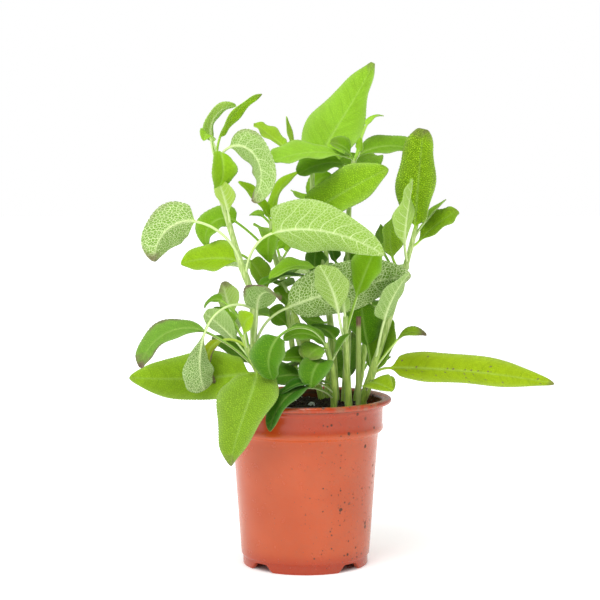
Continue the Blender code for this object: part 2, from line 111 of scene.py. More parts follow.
def in_scene(name, data):
    """An object of the data, at the origin of the scene."""
    made = bpy.data.objects.new(name, data)
    bpy.context.scene.collection.objects.link(made)
    return made


def mesh_object(name, points, faces):
    """A smooth mesh object from points in millimetres, its faces turned outwards."""
    mesh = bpy.data.meshes.new(name)
    mesh.from_pydata((np.asarray(points, float) * MM).tolist(), [], faces)
    bm = bmesh.new()
    bm.from_mesh(mesh)
    bmesh.ops.recalc_face_normals(bm, faces=bm.faces)
    bm.to_mesh(mesh)
    bm.free()
    mesh.shade_smooth()
    return in_scene(name, mesh)


def lathe(profile, sides, shape=None):
    """Points and faces of a (radius, height) line turned about Z; shape may move each point."""
    points, faces, rings = [], [], []
    for radius, height in profile:
        count = sides if radius > 0 else 1
        rings.append(range(len(points), len(points) + count))
        for i in range(count):
            angle = 2 * math.pi * i / sides
            point = (radius * math.cos(angle), radius * math.sin(angle), height)
            points.append(shape(point, angle) if shape else point)
    for low, high in zip(rings, rings[1:]):
        for i in range(sides):
            j = (i + 1) % sides
            corners = [low[i % len(low)], low[j % len(low)], high[j % len(high)], high[i % len(high)]]
            faces.append(list(dict.fromkeys(corners)))
    return points, faces


def smoothstep(low, high, value):
    t = np.clip((value - low) / (high - low), 0, 1)
    return t * t * (3 - 2 * t)


lip_low = POT_HEIGHT - LIP_THICK
band_low = POT_HEIGHT - COLLAR_DROP
floor_top = FLOOR_UNDER + FLOOR_THICK
skirt_inner = SKIRT_RADIUS - SKIRT_THICK


def part_the_feet(point, angle):
    """Lift the foot ring's lower edge at the four slots, with a soft S to each foot's end."""
    x, y, z = point
    if z > FLOOR_UNDER or not skirt_inner - 0.5 <= math.hypot(x, y) <= SKIRT_RADIUS + 0.3:
        return point
    off_axis = abs((math.degrees(angle) + 45) % 90 - 45)
    off_slot = abs(off_axis - 45)
    raised = 1 - float(smoothstep(SLOT_TOP_ANGLE, SLOT_GROUND_ANGLE, off_slot))
    level = raised * (FLOOR_UNDER - 0.06)
    return x, y, level + z * (1 - level / FLOOR_UNDER)


# Underneath, from the moulding's gate boss out to the foot ring.
profile = [(0, 0.0), (BOSS_RADIUS - BOSS_EDGE, 0.0), (BOSS_RADIUS, BOSS_EDGE), (BOSS_RADIUS, FLOOR_UNDER)]
profile += [(skirt_inner - 0.6, FLOOR_UNDER), (skirt_inner, FLOOR_UNDER - 0.2)]
profile += arc((skirt_inner + SKIRT_INNER_ROUND, SKIRT_INNER_ROUND), SKIRT_INNER_ROUND, 180, 270, 4)
profile += arc((SKIRT_RADIUS - SKIRT_ROUND, SKIRT_ROUND), SKIRT_ROUND, -90, 0, 5)
# Outside, up the tapered body to the bead that steps out to the collar.
profile += [(SKIRT_RADIUS, FLOOR_UNDER), (SKIRT_RADIUS, BODY_EDGE - 0.1)]
profile += arc((BODY_FOOT_RADIUS - BODY_ROUND, BODY_EDGE + BODY_ROUND), BODY_ROUND, -90, -3, 5)
profile += [(BODY_TOP_RADIUS - 0.1, band_low - 5.2), (BODY_TOP_RADIUS + 0.2, band_low - 4.6)]
profile += arc((COLLAR_RADIUS - BEAD_ROUND, band_low - 1.6), BEAD_ROUND, -72, 0, 10)
# The collar, with a fine moulding line near its top, and the rolled lip.
profile += [(COLLAR_RADIUS - 0.12, band_low - 0.2), (COLLAR_RADIUS - 0.35, band_low + 1.2)]
profile += [(COLLAR_RADIUS - 0.3, lip_low - 3.4), (COLLAR_RADIUS - 0.24, lip_low - 3.1)]
profile += [(COLLAR_RADIUS, lip_low - 2.8), (COLLAR_RADIUS, lip_low - 1.4)]
profile += arc((COLLAR_RADIUS + 1.2, lip_low - 1.2), 1.2, 178, 92, 6)
profile += arc((LIP_RADIUS - LIP_THICK / 2, POT_HEIGHT - LIP_THICK / 2), LIP_THICK / 2, -90, 90, 16)
# Inside, down to the floor.
profile += arc((LIP_RADIUS - 3.4, POT_HEIGHT - LIP_INNER_ROUND), LIP_INNER_ROUND, 95, 180, 9)
profile += [(COLLAR_RADIUS - WALL - 0.2, lip_low - 3.0), (COLLAR_RADIUS - WALL - 0.4, band_low + 0.8)]
profile += [(BODY_TOP_RADIUS - WALL, band_low - 3.6), (BODY_FOOT_RADIUS - WALL, floor_top + 1.0)]
profile += [(BODY_FOOT_RADIUS - WALL - 1.0, floor_top), (0, floor_top)]
pot = mesh_object("nursery_pot", *lathe(fine(profile, POT_STEP), POT_SIDES, part_the_feet))

# Four drain holes, one behind each slot between the feet.
drains = bpy.data.collections.new("drains")
low, high = FLOOR_UNDER - 2, floor_top + 2
plug_points, plug_faces = lathe([(0, low), (DRAIN_RADIUS, low), (DRAIN_RADIUS, high), (0, high)], 32)
for corner in (45, 135, 225, 315):
    shift = DRAIN_AT * np.array([math.cos(math.radians(corner)), math.sin(math.radians(corner)), 0])
    drains.objects.link(mesh_object("drain", np.array(plug_points) + shift, plug_faces))
cut = pot.modifiers.new("drain holes", "BOOLEAN")
cut.operand_type = "COLLECTION"
cut.collection = drains
cut.solver = "EXACT"
pot.data = bpy.data.meshes.new_from_object(pot.evaluated_get(bpy.context.evaluated_depsgraph_get()))
pot.modifiers.remove(cut)
for drain in list(drains.objects):
    bpy.data.objects.remove(drain, do_unlink=True)
bpy.data.collections.remove(drains)
pot.data.set_sharp_from_angle(angle=math.radians(50))


def colour(code):
    """An sRGB hex colour as the linear red, green, blue and alpha that a socket takes."""
    parts = [int(code[i:i + 2], 16) / 255 for i in (1, 3, 5)]
    return tuple(c / 12.92 if c <= 0.04045 else ((c + 0.055) / 1.055) ** 2.4 for c in parts) + (1.0,)


def add(tree, kind, inputs=None, **settings):
    """Add one node: settings are its properties; inputs give a socket a value or another node's output."""
    made = tree.nodes.new(kind)
    for key, value in settings.items():
        setattr(made, key, value)
    for key, value in (inputs or {}).items():
        socket = made.inputs[key]
        if isinstance(value, bpy.types.NodeSocket):
            tree.links.new(value, socket)
        else:
            socket.default_value = value
    return made


def new_material(name, **shader):
    """A material with its Principled shader and the Object coordinates to build on."""
    made = bpy.data.materials.new(name)
    made.use_nodes = True
    principled = made.node_tree.nodes["Principled BSDF"]
    for key, value in shader.items():
        principled.inputs[key.replace("_", " ")].default_value = value
    return made, principled, add(made.node_tree, "ShaderNodeTexCoord").outputs["Object"]


def to_shader(shader, **outputs):
    """Link each output to the shader's socket of that name."""
    for key, value in outputs.items():
        shader.id_data.links.new(value, shader.inputs[key.replace("_", " ")])


def follow(kind, inputs, **settings):
    """Add one node to the tree that its inputs come from, and give its outputs."""
    tree = next(value.id_data for value in inputs.values() if isinstance(value, bpy.types.NodeSocket))
    return add(tree, kind, inputs, **settings).outputs


def mix(factor, low, high):
    """The colour between low and high; each is a socket or a linear colour."""
    return follow("ShaderNodeMix", {0: factor, 6: low, 7: high}, data_type="RGBA")[2]


def math_of(operation, *values):
    return follow("ShaderNodeMath", dict(enumerate(values)), operation=operation)[0]


def times(first, second):
    return math_of("MULTIPLY", first, second)


def ramp(value, low, high, to_low=0.0, to_high=1.0):
    """value taken from low..high to to_low..to_high, smoothly and held at its ends."""
    given = {"Value": value, 1: low, 2: high, 3: to_low, 4: to_high}
    return follow("ShaderNodeMapRange", given, interpolation_type="SMOOTHSTEP")[0]


def noise(place, cell_mm, detail=2.0, rough=0.5):
    """Noise whose lumps are about cell_mm across, from 0 to 1."""
    given = {"Vector": place, "Scale": 1 / (cell_mm * MM), "Detail": detail, "Roughness": rough}
    return follow("ShaderNodeTexNoise", given)[0]


def vector_math(operation, *values):
    """The outputs of a vector sum or product, or of a vector's length."""
    return follow("ShaderNodeVectorMath", dict(enumerate(values)), operation=operation)


def xyz(vector):
    return follow("ShaderNodeSeparateXYZ", {0: vector})


def bumps(height, strength, rise_mm):
    given = {"Height": height, "Strength": strength, "Distance": rise_mm * MM}
    return follow("ShaderNodeBump", given)[0]


# Moulded polypropylene, terracotta-coloured: an even, slightly waxy satin. Potting soil has dried on it in
# fine specks, mostly to the right, and clings to the lip as a brown film. The inner wall near the top is
# darkened almost to the soil's colour. Painted shade deepens the collar under the lip and the foot, and a
# painted shadow runs as a thin dark line under the lip.
POT_COLOUR = colour("#B94A16")
POT_PALE = colour("#C85828")
POT_DEEP = colour("#B5421B")
# Painted shade on the collar under the lip and on the foot.
POT_SHADE = colour("#AA3000")
# The soil specks' dark, which also paints the shadow under the lip and darkens the inner wall.
SOIL_AND_SHADE_DARK = colour("#3A2A1C")
SOIL_FILM = colour("#8E6A50")
FILM_FROM, FILM_FULL = 96.5, 100.8  # heights between which the film sets in
INSIDE_DARK_FROM, INSIDE_DARK_FULL = 88.5, 89.0  # and the darkening of the inner wall
COLLAR_SHADE_FROM, COLLAR_SHADE_FULL = 84.5, 86.2  # and the collar's painted shade under the lip
FOOT_SHADE_FULL, FOOT_SHADE_END = 4.0, 14.0  # and between which the foot's painted shade ends
LIP_SHADOW_HEIGHT = lip_low - 0.3
LIP_SHADOW_FULL, LIP_SHADOW_END = 0.2, 0.9  # how far the painted shadow under the lip reaches from its line
RIGHT_FROM, RIGHT_FULL = -35.0, 40.0  # the side on which more soil has dried
SPECKS = ((5.2, 0.60), (2.6, 0.54), (1.3, 0.58))  # mean spacing, and how scarce they are
SPECK_REACH = 0.26  # a large speck's radius, as a share of the spacing

plastic, shader, place = new_material("terracotta_polypropylene", IOR=1.5, Sheen_Weight=0.12,
                                      Sheen_Roughness=0.5, Sheen_Tint=colour("#FFB884"))
x, y, z = xyz(place)
tone = mix(ramp(noise(place, 30, 2), 0.35, 0.7, 0, 0.5), POT_COLOUR, POT_PALE)
blotch = noise(place, 7, 4, 0.65)
tone = mix(ramp(blotch, 0.5, 0.75, 0, 0.2), tone, POT_DEEP)
# Painted shade: the collar under the lip and the foot near the floor are darkened.
collar_shade = ramp(z, COLLAR_SHADE_FROM * MM, COLLAR_SHADE_FULL * MM, 0, 0.75)
foot_shade = ramp(z, FOOT_SHADE_FULL * MM, FOOT_SHADE_END * MM, 0.9, 0)
tone = mix(math_of("MAXIMUM", collar_shade, foot_shade), tone, POT_SHADE)
# Painted shadow: a thin dark line under the lip.
off_lip_shadow = math_of("ABSOLUTE", math_of("SUBTRACT", z, LIP_SHADOW_HEIGHT * MM))
tone = mix(ramp(off_lip_shadow, LIP_SHADOW_FULL * MM, LIP_SHADOW_END * MM, 0.75, 0), tone, SOIL_AND_SHADE_DARK)
rightward = ramp(x, RIGHT_FROM * MM, RIGHT_FULL * MM)
film = times(ramp(noise(place, 5.5, 5, 0.7), 0.42, 0.66), ramp(z, FILM_FROM * MM, FILM_FULL * MM, 0.12, 0.75))
film = times(film, math_of("MULTIPLY_ADD", rightward, 0.75, 0.25))
tone = mix(film, tone, SOIL_FILM)
# The inner wall near the top is darkened almost to the soil's colour.
from_axis = vector_math("LENGTH", vector_math("MULTIPLY", place, (1, 1, 0))[0])["Value"]
inside = ramp(from_axis, (COLLAR_RADIUS - 0.8) * MM, (COLLAR_RADIUS - 0.4) * MM, 0.9, 0)
inside = times(inside, ramp(z, INSIDE_DARK_FROM * MM, INSIDE_DARK_FULL * MM))
inside = times(inside, ramp(noise(place, 4, 4, 0.7), 0.35, 0.6, 0.7, 1))
tone = mix(inside, tone, SOIL_AND_SHADE_DARK)
speck = 0.0
for spacing, scarce in SPECKS:
    cells = follow("ShaderNodeTexVoronoi", {"Vector": place, "Scale": 1 / (spacing * MM)})
    pick = follow("ShaderNodeSeparateColor", {0: cells["Color"]})[0]
    kept = times(pick, math_of("MULTIPLY_ADD", rightward, 0.25, 0.78))
    off_edge = math_of("SUBTRACT", cells["Distance"], ramp(kept, scarce, 1.0, 0.0, SPECK_REACH))
    speck = math_of("MAXIMUM", speck, ramp(off_edge, -0.05, 0.01, 1, 0))
speck = times(speck, ramp(noise(place, 16), 0.3, 0.5, 0.2, 1))
tone = mix(times(speck, 0.85), tone, SOIL_AND_SHADE_DARK)
gloss = math_of("ADD", ramp(blotch, 0.3, 0.8, 0.21, 0.3), times(speck, 0.4))
height = math_of("ADD", times(noise(place, 0.9, 3), 0.05), times(speck, 0.6))
to_shader(shader, Base_Color=tone, Roughness=gloss, Normal=bumps(height, 0.35, 0.4))
pot.data.materials.clear()
pot.data.materials.append(plastic)
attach(pot, "root")
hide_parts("pot")

# ---------------- the soil
# Peat potting mix with bark crumbs, root fibres and grains of white perlite. It was filled in loose, has
# settled to a low crown and is damp below, so it is nearly black, with paler dry crumbs on top.
SOIL_TOP = 96.0
SOIL_CROWN = 2.5
SOIL_CREST = 22.7
SOIL_STEP = 0.9
SOIL_SIDES = 220
GAP = 0.3  # left between the soil and the wall
HEAPS = ((11.0, 1.5), (4.6, 0.9), (2.1, 0.6))  # breadth and height of the surface's heaps and pits
EDGE_BLEND = 5.0
CRUMB_SEED = 7
foot_radius = BODY_FOOT_RADIUS - WALL - GAP
neck_radius = BODY_TOP_RADIUS - WALL - GAP
collar_radius = COLLAR_RADIUS - WALL - 0.4 - GAP


def loose_top(point, angle):
    """Pit and heap the soil's surface."""
    x, y, z = point
    if z < SOIL_TOP - 2:
        return point
    from_edge = float(smoothstep(collar_radius, collar_radius - EDGE_BLEND, math.hypot(x, y)))
    heap = 0.0
    for size, height in HEAPS:
        heap += height * lump_noise(Vector((x / size, y / size, height * 7.0)))
    return x, y, z + heap * from_edge


crown = [(SOIL_CREST, SOIL_TOP + SOIL_CROWN * 0.7), (0.0, SOIL_TOP + SOIL_CROWN)]
bottom = floor_top + GAP
soil_profile = [(0, bottom), (foot_radius - 1.4, bottom), (foot_radius - 0.4, bottom + 1.2)]
soil_profile += [(neck_radius - 0.2, band_low - 4.0), (neck_radius + 0.1, band_low - 3.0)]
soil_profile += fine([(collar_radius - 0.3, SOIL_TOP - 1.5)] + crown, SOIL_STEP)
soil = mesh_object("potting_soil", *lathe(soil_profile, SOIL_SIDES, loose_top))


def crumb_tree(name, material, stretch):
    """Geometry Nodes: crumbs of a few faces, strewn over the mesh's upward faces."""
    made = bpy.data.node_groups.new(name, "GeometryNodeTree")
    sockets = {}
    made.interface.new_socket("Geometry", in_out="INPUT", socket_type="NodeSocketGeometry")
    for label, kind in (("Density", "Float"), ("Smallest", "Float"), ("Largest", "Float"), ("Seed", "Int")):
        socket = made.interface.new_socket(label, in_out="INPUT", socket_type="NodeSocket" + kind)
        sockets[label] = socket.identifier
    made.interface.new_socket("Geometry", in_out="OUTPUT", socket_type="NodeSocketGeometry")
    given = add(made, "NodeGroupInput").outputs
    facing = xyz(add(made, "GeometryNodeInputNormal").outputs[0])[2]
    on_top = follow("FunctionNodeCompare", {0: facing, 1: 0.5}, operation="GREATER_THAN")[0]
    strewn = follow("GeometryNodeDistributePointsOnFaces",
                    {"Mesh": given["Geometry"], "Selection": on_top, "Density": given["Density"],
                     "Seed": given["Seed"]})["Points"]
    lump = add(made, "GeometryNodeMeshIcoSphere", {"Radius": 1.0, "Subdivisions": 1}).outputs[0]
    skew = add(made, "FunctionNodeRandomValue", {0: (-0.3,) * 3, 1: (0.3,) * 3}, data_type="FLOAT_VECTOR")
    lump = follow("GeometryNodeSetPosition", {"Geometry": lump, "Offset": skew.outputs[0]})[0]
    size = follow("FunctionNodeRandomValue", {2: given["Smallest"], 3: given["Largest"], "Seed": 3},
                  data_type="FLOAT")[1]
    scale = follow("ShaderNodeCombineXYZ", {0: size, 1: times(size, stretch), 2: size})[0]
    turn = add(made, "FunctionNodeRandomValue", {0: (0.0,) * 3, 1: (6.283,) * 3, "Seed": 5},
               data_type="FLOAT_VECTOR").outputs[0]
    placed = follow("GeometryNodeInstanceOnPoints",
                    {"Points": strewn, "Instance": lump, "Rotation": turn, "Scale": scale})[0]
    real = follow("GeometryNodeRealizeInstances", {0: placed})[0]
    dressed = follow("GeometryNodeSetMaterial", {"Geometry": real, "Material": material})[0]
    follow("NodeGroupOutput", {0: dressed})
    return made, sockets


def grown_on(base, name, made, sockets, **sizes):
    """The plain mesh object that the tree makes on the base, with its named inputs set first."""
    obj = in_scene(name, base.data.copy())
    modifier = obj.modifiers.new(name, "NODES")
    modifier.node_group = made
    for label, value in sizes.items():
        modifier[sockets[label]] = value
    result = bpy.data.meshes.new_from_object(obj.evaluated_get(bpy.context.evaluated_depsgraph_get()))
    obj.modifiers.remove(modifier)
    obj.data = result
    return obj


# Damp peat: very dark, matt, with a few wet glints where fine crumbs lie open.
peat, shader, place = new_material("damp_peat", Roughness=0.95)
lumps = noise(place, 2.2, 5, 0.7)
tone = mix(ramp(lumps, 0.35, 0.7), colour("#050403"), colour("#1A120C"))
to_shader(shader, Base_Color=tone, Roughness=ramp(lumps, 0.4, 0.7, 0.55, 0.95),
          Normal=bumps(lumps, 0.8, 1.0))
soil.data.materials.append(peat)

# Composted bark and dry peat crumbs: nearly black to dark brown, a few of them dry and grey-brown, matt.
bark, shader, place = new_material("bark_crumb", Roughness=0.9)
tone = mix(noise(place, 6, 2), colour("#060402"), colour("#3E2C1C"))
tone = mix(ramp(noise(place, 2.6, 1), 0.68, 0.8), tone, colour("#80664C"))
to_shader(shader, Base_Color=tone)
# Perlite: expanded volcanic glass, white with a bluish cast and a faint glassy sparkle.
perlite, shader, place = new_material("perlite_grain", Roughness=0.35, IOR=1.5)
tone = mix(noise(place, 1.2, 3), colour("#8F9AA6"), colour("#F2F4F6"))
to_shader(shader, Base_Color=tone)

# What is strewn: its number to the square metre, its smallest and largest size, and how drawn out it is.
STREWN = (("soil_crumbs", bark, 330000.0, 0.35, 1.2, 1.0), ("soil_fibres", bark, 60000.0, 0.14, 0.3, 9.0),
          ("soil_perlite", perlite, 9000.0, 0.3, 1.2, 1.0))
soil_pieces = [soil]
for name, matter, density, smallest, largest, stretch in STREWN:
    made, sockets = crumb_tree(name, matter, stretch)
    soil_pieces.append(grown_on(soil, name, made, sockets, Density=density, Smallest=smallest * MM,
                                Largest=largest * MM, Seed=CRUMB_SEED + len(soil_pieces)))
# One large grain of perlite lies open near the middle.
GRAIN_RADIUS = 2.3
GRAIN_AT = (4, -9, SOIL_TOP + 1.6)
GRAIN_ROUGH = 0.35
GRAIN_PITS = 600  # to the metre
grain = bmesh.new()
bmesh.ops.create_icosphere(grain, subdivisions=3, radius=GRAIN_RADIUS * MM)
for corner in grain.verts:
    corner.co *= 1 + GRAIN_ROUGH * lump_noise(corner.co * GRAIN_PITS)
    corner.co += Vector(GRAIN_AT) * MM
grain_mesh = bpy.data.meshes.new("soil_perlite_lump")
grain.to_mesh(grain_mesh)
grain.free()
grain_mesh.materials.append(perlite)
soil_pieces.append(in_scene("soil_perlite_lump", grain_mesh))
for piece in soil_pieces:
    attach(piece, "root")
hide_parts("soil")

# ---------------- the leafy stems
# Common sage: square-cornered, softly felted green stems that stand in the soil and part into stalked leaves.
# A leaf's upper face is finely pebbled, its underside paler with raised net veins, its edge minutely
# scalloped. Each stem with its stalks and leaves is one living piece.
STEM_HOLE_DEPTH = 12.0
SQUARE_CORNERS = 0.07
JOINT_SWELL = 0.14  # how much thicker the stem is where a leaf leaves it
BLADE_THICK = 0.62
PETIOLE_RADIUS = 0.85
EDGE_WAVE = 0.045
SCALLOP = 1.7  # spacing of the margin's scallops
VEIN_PAIRS = 8.8  # side veins along a blade
VEIN_SPACING = (2.4, 8.4)
VEIN_WIDTH = 0.62
QUILT_RISE = 0.45  # of the skin between the side veins
VEIN_SINK = 0.35   # of a side vein in the upper face
VEIN_RISE = 0.5    # and out of the underside
RIB_GROOVE = 0.35
STALK_GROOVE = 0.3
STALK_STEP = 1.6
NET_ACROSS = 16  # pebbles across a blade
NET_CELL = (0.85, 1.9)
SMALL_BLADE = 28.0
USUAL_FULL = 0.38
USUAL_TIP = 0.08
USUAL_FOLD = 0.22
BLADE_OUTLINE = [(0.06, 0.5), (0.20, 0.85), (0.38, 1.0), (0.58, 0.93), (0.77, 0.7), (0.91, 0.4), (1.0, 0.08)]
SMALL_OUTLINE = [(0.1, 0.6), (0.42, 1.0), (0.76, 0.68), (1.0, 0.12)]
MESH_STEP = 0.62  # spacing of a blade's points

Stem = namedtuple("Stem", "path base_radius tip_radius leaves")
# As the solid: where the leaf leaves the stem, its heading and rise, stalk and its bow, blade, droop, sweep,
# width and roll. Then its looks, each 0 to 1: how lit it is painted (painted light and shade: a leaf in shade
# gets the darker colour), how grey with felt, how yellowed and how scorched it is, and how deep its net.
# Last, where it isn't of the usual shape, the share of its length where it is full, how blunt its tip is, and
# how far its halves fold up.
Leaf = namedtuple("Leaf", "height heading rise stalk arch blade droop sweep width roll light grey gold "
                  "scorch net full tip fold", defaults=(USUAL_FULL, USUAL_TIP, USUAL_FOLD))

STEMS = {}
STEMS["stem_left_tall"] = Stem(
    [(-14, -2, 96), (-20, -4, 106), (-28, -8, 121), (-31, -10, 135), (-32, -10, 163), (-39, -8, 184),
     (-46, -4, 207), (-52, -2, 228), (-53, 0, 247)], 2.5, 1.3, [
    Leaf(245, 195, 80, 14, -30, 39, -50, 5, 13, -35, 1, 0.1, 0.2, 0.25, 0, full=0.4),
    Leaf(243, 10, 90, 15, -25, 32, 120, 15, 13, -40, 1, 0.3, 0.1, 0, 0, full=0.4),
    Leaf(244, 235, 50, 14, -30, 16, 150, 25, 10, -30, 0.9, 0.3, 0, 0, 0.1),
    Leaf(243, 280, 90, 15, 100, 29, 160, 20, 18, -20, 0.75, 0.1, 0.1, 0, 0.15, full=0.5),
    Leaf(243, 325, 85, 15, 65, 52, 165, -5, 26, -70, 0.9, 0.7, 0, 0.42, 0.6, full=0.45),
    Leaf(183, 205, 75, 43, 65, 40, 105, 0, 26, 90, 1, 0.15, 0, 0.4, 0.95, full=0.33, fold=0.4),
    Leaf(176, 320, 90, 37, 75, 74, 50, 50, 36, -60, 0.9, 0.15, 0.05, 0.05, 0.4, full=0.24, tip=0.04),
    Leaf(181, 140, 76, 8, 68, 37, 25, 45, 24, -45, 0.7, 0, 0.25, 0, 0.12),
    Leaf(155, 218, 32, 42, 98, 36, 45, -10, 22, 80, 0.6, 0.8, 0, 0.1, 1, full=0.68, tip=0.35),
    Leaf(189, 35, -10, 10, 35, 21, 20, -5, 19, 65, 0.75, 0.3, 0.15, 0, 0.4),
    Leaf(130, 350, 87, 34, 64, 80, 18, 30, 34, -68, 0.6, 0, 0.3, 0.1, 1, full=0.42),
    Leaf(135, 285, 55, 23, -30, 31, 135, 40, 21, -20, 0.5, 0.5, 0, 0.9, 0.7),
    Leaf(206, 240, 90, 8, 20, 24, 10, -15, 15, 0, 1, 0, 0.35, 0, 0, full=0.62, tip=0.2),
])
STEMS["stem_left_low"] = Stem(
    [(-17, -15, 96), (-20, -17, 104), (-27, -21, 117), (-33, -22, 129), (-37, -20, 141)], 1.9, 1.3, [
    Leaf(119, 265, 40, 11, 70, 63, 50, -50, 36, 0, 0.38, 0.42, 0.3, 0.3, 0.45, full=0.36),
    Leaf(121, 190, 50, 38, 25, 51, 105, 0, 20, -30, 0.5, 0.65, 0, 0.55, 0.45, full=0.5, tip=0.2),
    Leaf(135, 125, 40, 23, -15, 23, -15, 0, 16, 105, 0.85, 0.2, 0.3, 0.35, 0.3, full=0.5, tip=0.25),
    Leaf(126, 155, 50, 15, 5, 27, 10, 20, 20, 55, 0.9, 1, 0, 0, 0.5, full=0.5, tip=0.3),
    Leaf(134, 255, 40, 11, -30, 18, 50, 80, 14, 100, 0.9, 0.1, 0.3, 0, 0.2, full=0.5),
    Leaf(115, 165, 65, 9, 75, 74, -15, 25, 32, -60, 0.62, 0.2, 0.3, 0.1, 0.2, full=0.34),
    Leaf(139, 135, 40, 14, -10, 17, 40, 25, 13, -5, 0.6, 0.2, 0, 0, 0.3),
    Leaf(126, 170, 85, 25, 100, 32, 130, -10, 11, -55, 0.1, 0, 0.9, 0.7, 0.5, full=0.5, tip=0.3),
    Leaf(132, 150, 90, 37, 65, 14, 95, 15, 10, -25, 0.4, 0.1, 0, 0, 0.3),
])
STEMS["stem_centre_left"] = Stem(
    [(10, 14, 96), (4, 14, 123), (-9, 14, 157), (-19, 14, 188), (-21, 12, 209)], 1.9, 1.2, [
    Leaf(208, 205, 75, 4, 15, 30, 25, -5, 14, -40, 0.9, 0, 0.2, 0, 0.1),
    Leaf(206, 0, 65, 4, -30, 36, 70, 0, 14, 25, 0.85, 0, 0.2, 0, 0.1),
    Leaf(202, 260, 40, 5, 75, 21, 85, 0, 20, 40, 0.5, 0, 0, 0, 0.2),
    Leaf(183, 180, 55, 35, 20, 31, 150, 0, 22, -40, 0.55, 0.1, 0, 0, 0.2),
    Leaf(206, 140, 50, 9, 20, 11, 55, 10, 8, -20, 0.8, 0.2, 0, 0, 0.2),
    Leaf(204, 50, 75, 11, 25, 11, 40, -10, 8, 0, 0.8, 0.2, 0, 0, 0.2),
    Leaf(148, 220, 65, 10, 10, 16, 30, -10, 14, -60, 0.6, 0, 0, 0, 0.3),
    Leaf(162, 255, 50, 8, 10, 22, 60, 0, 16, 0, 0.5, 0, 0, 0, 0.3),
    Leaf(122, 235, 20, 9, -30, 29, -30, -10, 16, -15, 1, 0, 0.35, 0, 0.2),
    Leaf(194, 340, 45, 23, 10, 64, 10, 10, 30, 60, 0.78, 0.15, 0.1, 0.1, 0.55, full=0.45),
])
STEMS["stem_centre_back"] = Stem(
    [(19, 20, 96), (16, 22, 141), (10, 22, 183), (5, 22, 212), (4, 20, 244)], 2.2, 1.2, [
    Leaf(242, 60, 15, 8, -30, 75, -20, -70, 37, 30, 0.73, 0.3, 0.05, 0.25, 0.12, full=0.31, tip=0.26),
    Leaf(237, 145, 55, 24, 25, 29, -10, 20, 20, -10, 1, 0.35, 0.3, 0, 0.2, full=0.6, tip=0.3),
    Leaf(240, 135, 25, 22, -30, 19, -35, 0, 9, 25, 1, 0.5, 0.3, 0, 0.1),
    Leaf(168, 215, 40, 13, -30, 17, -50, -15, 20, -70, 0.15, 0, 0, 0, 0.3),
])
STEMS["stem_centre"] = Stem(
    [(24, 5, 96), (26, 8, 136), (26, 10, 184), (27, 14, 222), (30, 16, 247)], 2.2, 1.2, [
    Leaf(244, 215, 65, 4, 50, 55, 35, -10, 24, -25, 0.92, 0.45, 0, 0, 0.2, full=0.6, tip=0.35),
    Leaf(238, 200, 90, 9, 80, 31, 45, 0, 22, -30, 0.45, 0, 0, 0, 0.2, full=0.5, tip=0.2),
    Leaf(243, 200, 90, 7, 35, 15, 55, -10, 18, -35, 0.45, 0, 0, 0.15, 0.3, full=0.45),
    Leaf(243, 25, 90, 7, 60, 44, 60, -30, 22, 30, 0.41, 0.1, 0.05, 0.15, 0.35, full=0.5),
    Leaf(234, 75, -5, 8, -30, 39, 5, 20, 30, 0, 0.9, 0.2, 0, 0, 0.3, full=0.5, tip=0.3),
    Leaf(245, 310, 40, 8, -25, 9, -30, 0, 9, 80, 1, 0.2, 0, 0, 0.2),
    Leaf(242, 40, 75, 28, 15, 16, 70, -10, 6, 5, 0.9, 0.2, 0, 0, 0.1),
    Leaf(174, 330, 90, 6, 5, 20, 85, 0, 18, 50, 0.3, 0, 0, 0, 0.4),
    Leaf(176, 170, 30, 11, -30, 14, -50, 0, 16, -20, 0.15, 0, 0, 0, 0.3),
    Leaf(168, 220, 28, 28, 5, 34, 65, -30, 20, -15, 0.6, 0.1, 0, 0, 0.2),
    Leaf(169, 210, 20, 31, 10, 33, 45, -15, 18, -5, 0.15, 0, 0, 0, 0.2, full=0.5),
    Leaf(150, 190, 45, 8, 20, 24, 50, 0, 18, -20, 0.25, 0, 0, 0, 0.3),
])
STEMS["stem_right"] = Stem(
    [(35, 0, 96), (42, 0, 121), (50, 2, 146), (56, 4, 165), (63, 6, 188), (68, 6, 208)], 2.3, 1.2, [
    Leaf(202, 305, 65, 4, -20, 60, 5, 0, 30, 100, 0.85, 0, 0.2, 0.3, 1, full=0.4, tip=0.32),
    Leaf(184, 260, 25, 15, -30, 45, -25, 55, 24, 40, 1, 0.15, 0, 0, 0.12, full=0.6, tip=0.35),
    Leaf(193, 15, 15, 5, -30, 32, 15, -5, 20, 25, 1, 0, 0.1, 0.1, 0.8, full=0.6, tip=0.25),
    Leaf(197, 30, 60, 15, 15, 20, 5, -10, 12, -10, 0.8, 0.1, 0, 0.1, 0.3),
    Leaf(176, 155, 40, 12, -30, 29, -50, 10, 25, -15, 1, 0.1, 0.15, 0, 1, full=0.5, tip=0.2),
    Leaf(174, 140, 35, 26, -30, 13, -50, 0, 12, 10, 0.5, 0.1, 0, 0, 0.4),
    Leaf(123, 300, 75, 28, 10, 37, 20, 25, 20, 5, 0.5, 0.6, 0, 0, 0.5),
    Leaf(112, 40, 65, 5, 5, 36, -10, -10, 21, 10, 0.45, 0.1, 0.1, 0, 0.3, full=0.5),
    Leaf(118, 345, 55, 25, 5, 20, 80, 5, 10, 25, 0.8, 0.2, 0.35, 0.5, 0.4, full=0.5),
    Leaf(107, 0, 90, 21, 90, 101, 10, -10, 24, 45, 0.75, 0, 0.7, 0.3, 0.3, full=0.34),
    Leaf(104, 280, 45, 15, 30, 25, 40, 45, 17, 25, 0.55, 0, 0.5, 0, 0.3),
    Leaf(110, 305, 35, 8, 20, 17, 75, 10, 14, 10, 0.45, 0, 0.4, 0, 0.3),
    Leaf(117, 150, 80, 16, 5, 28, 0, -60, 24, -5, 0.2, 0, 0, 0, 0.5, full=0.45, tip=0.2),
])
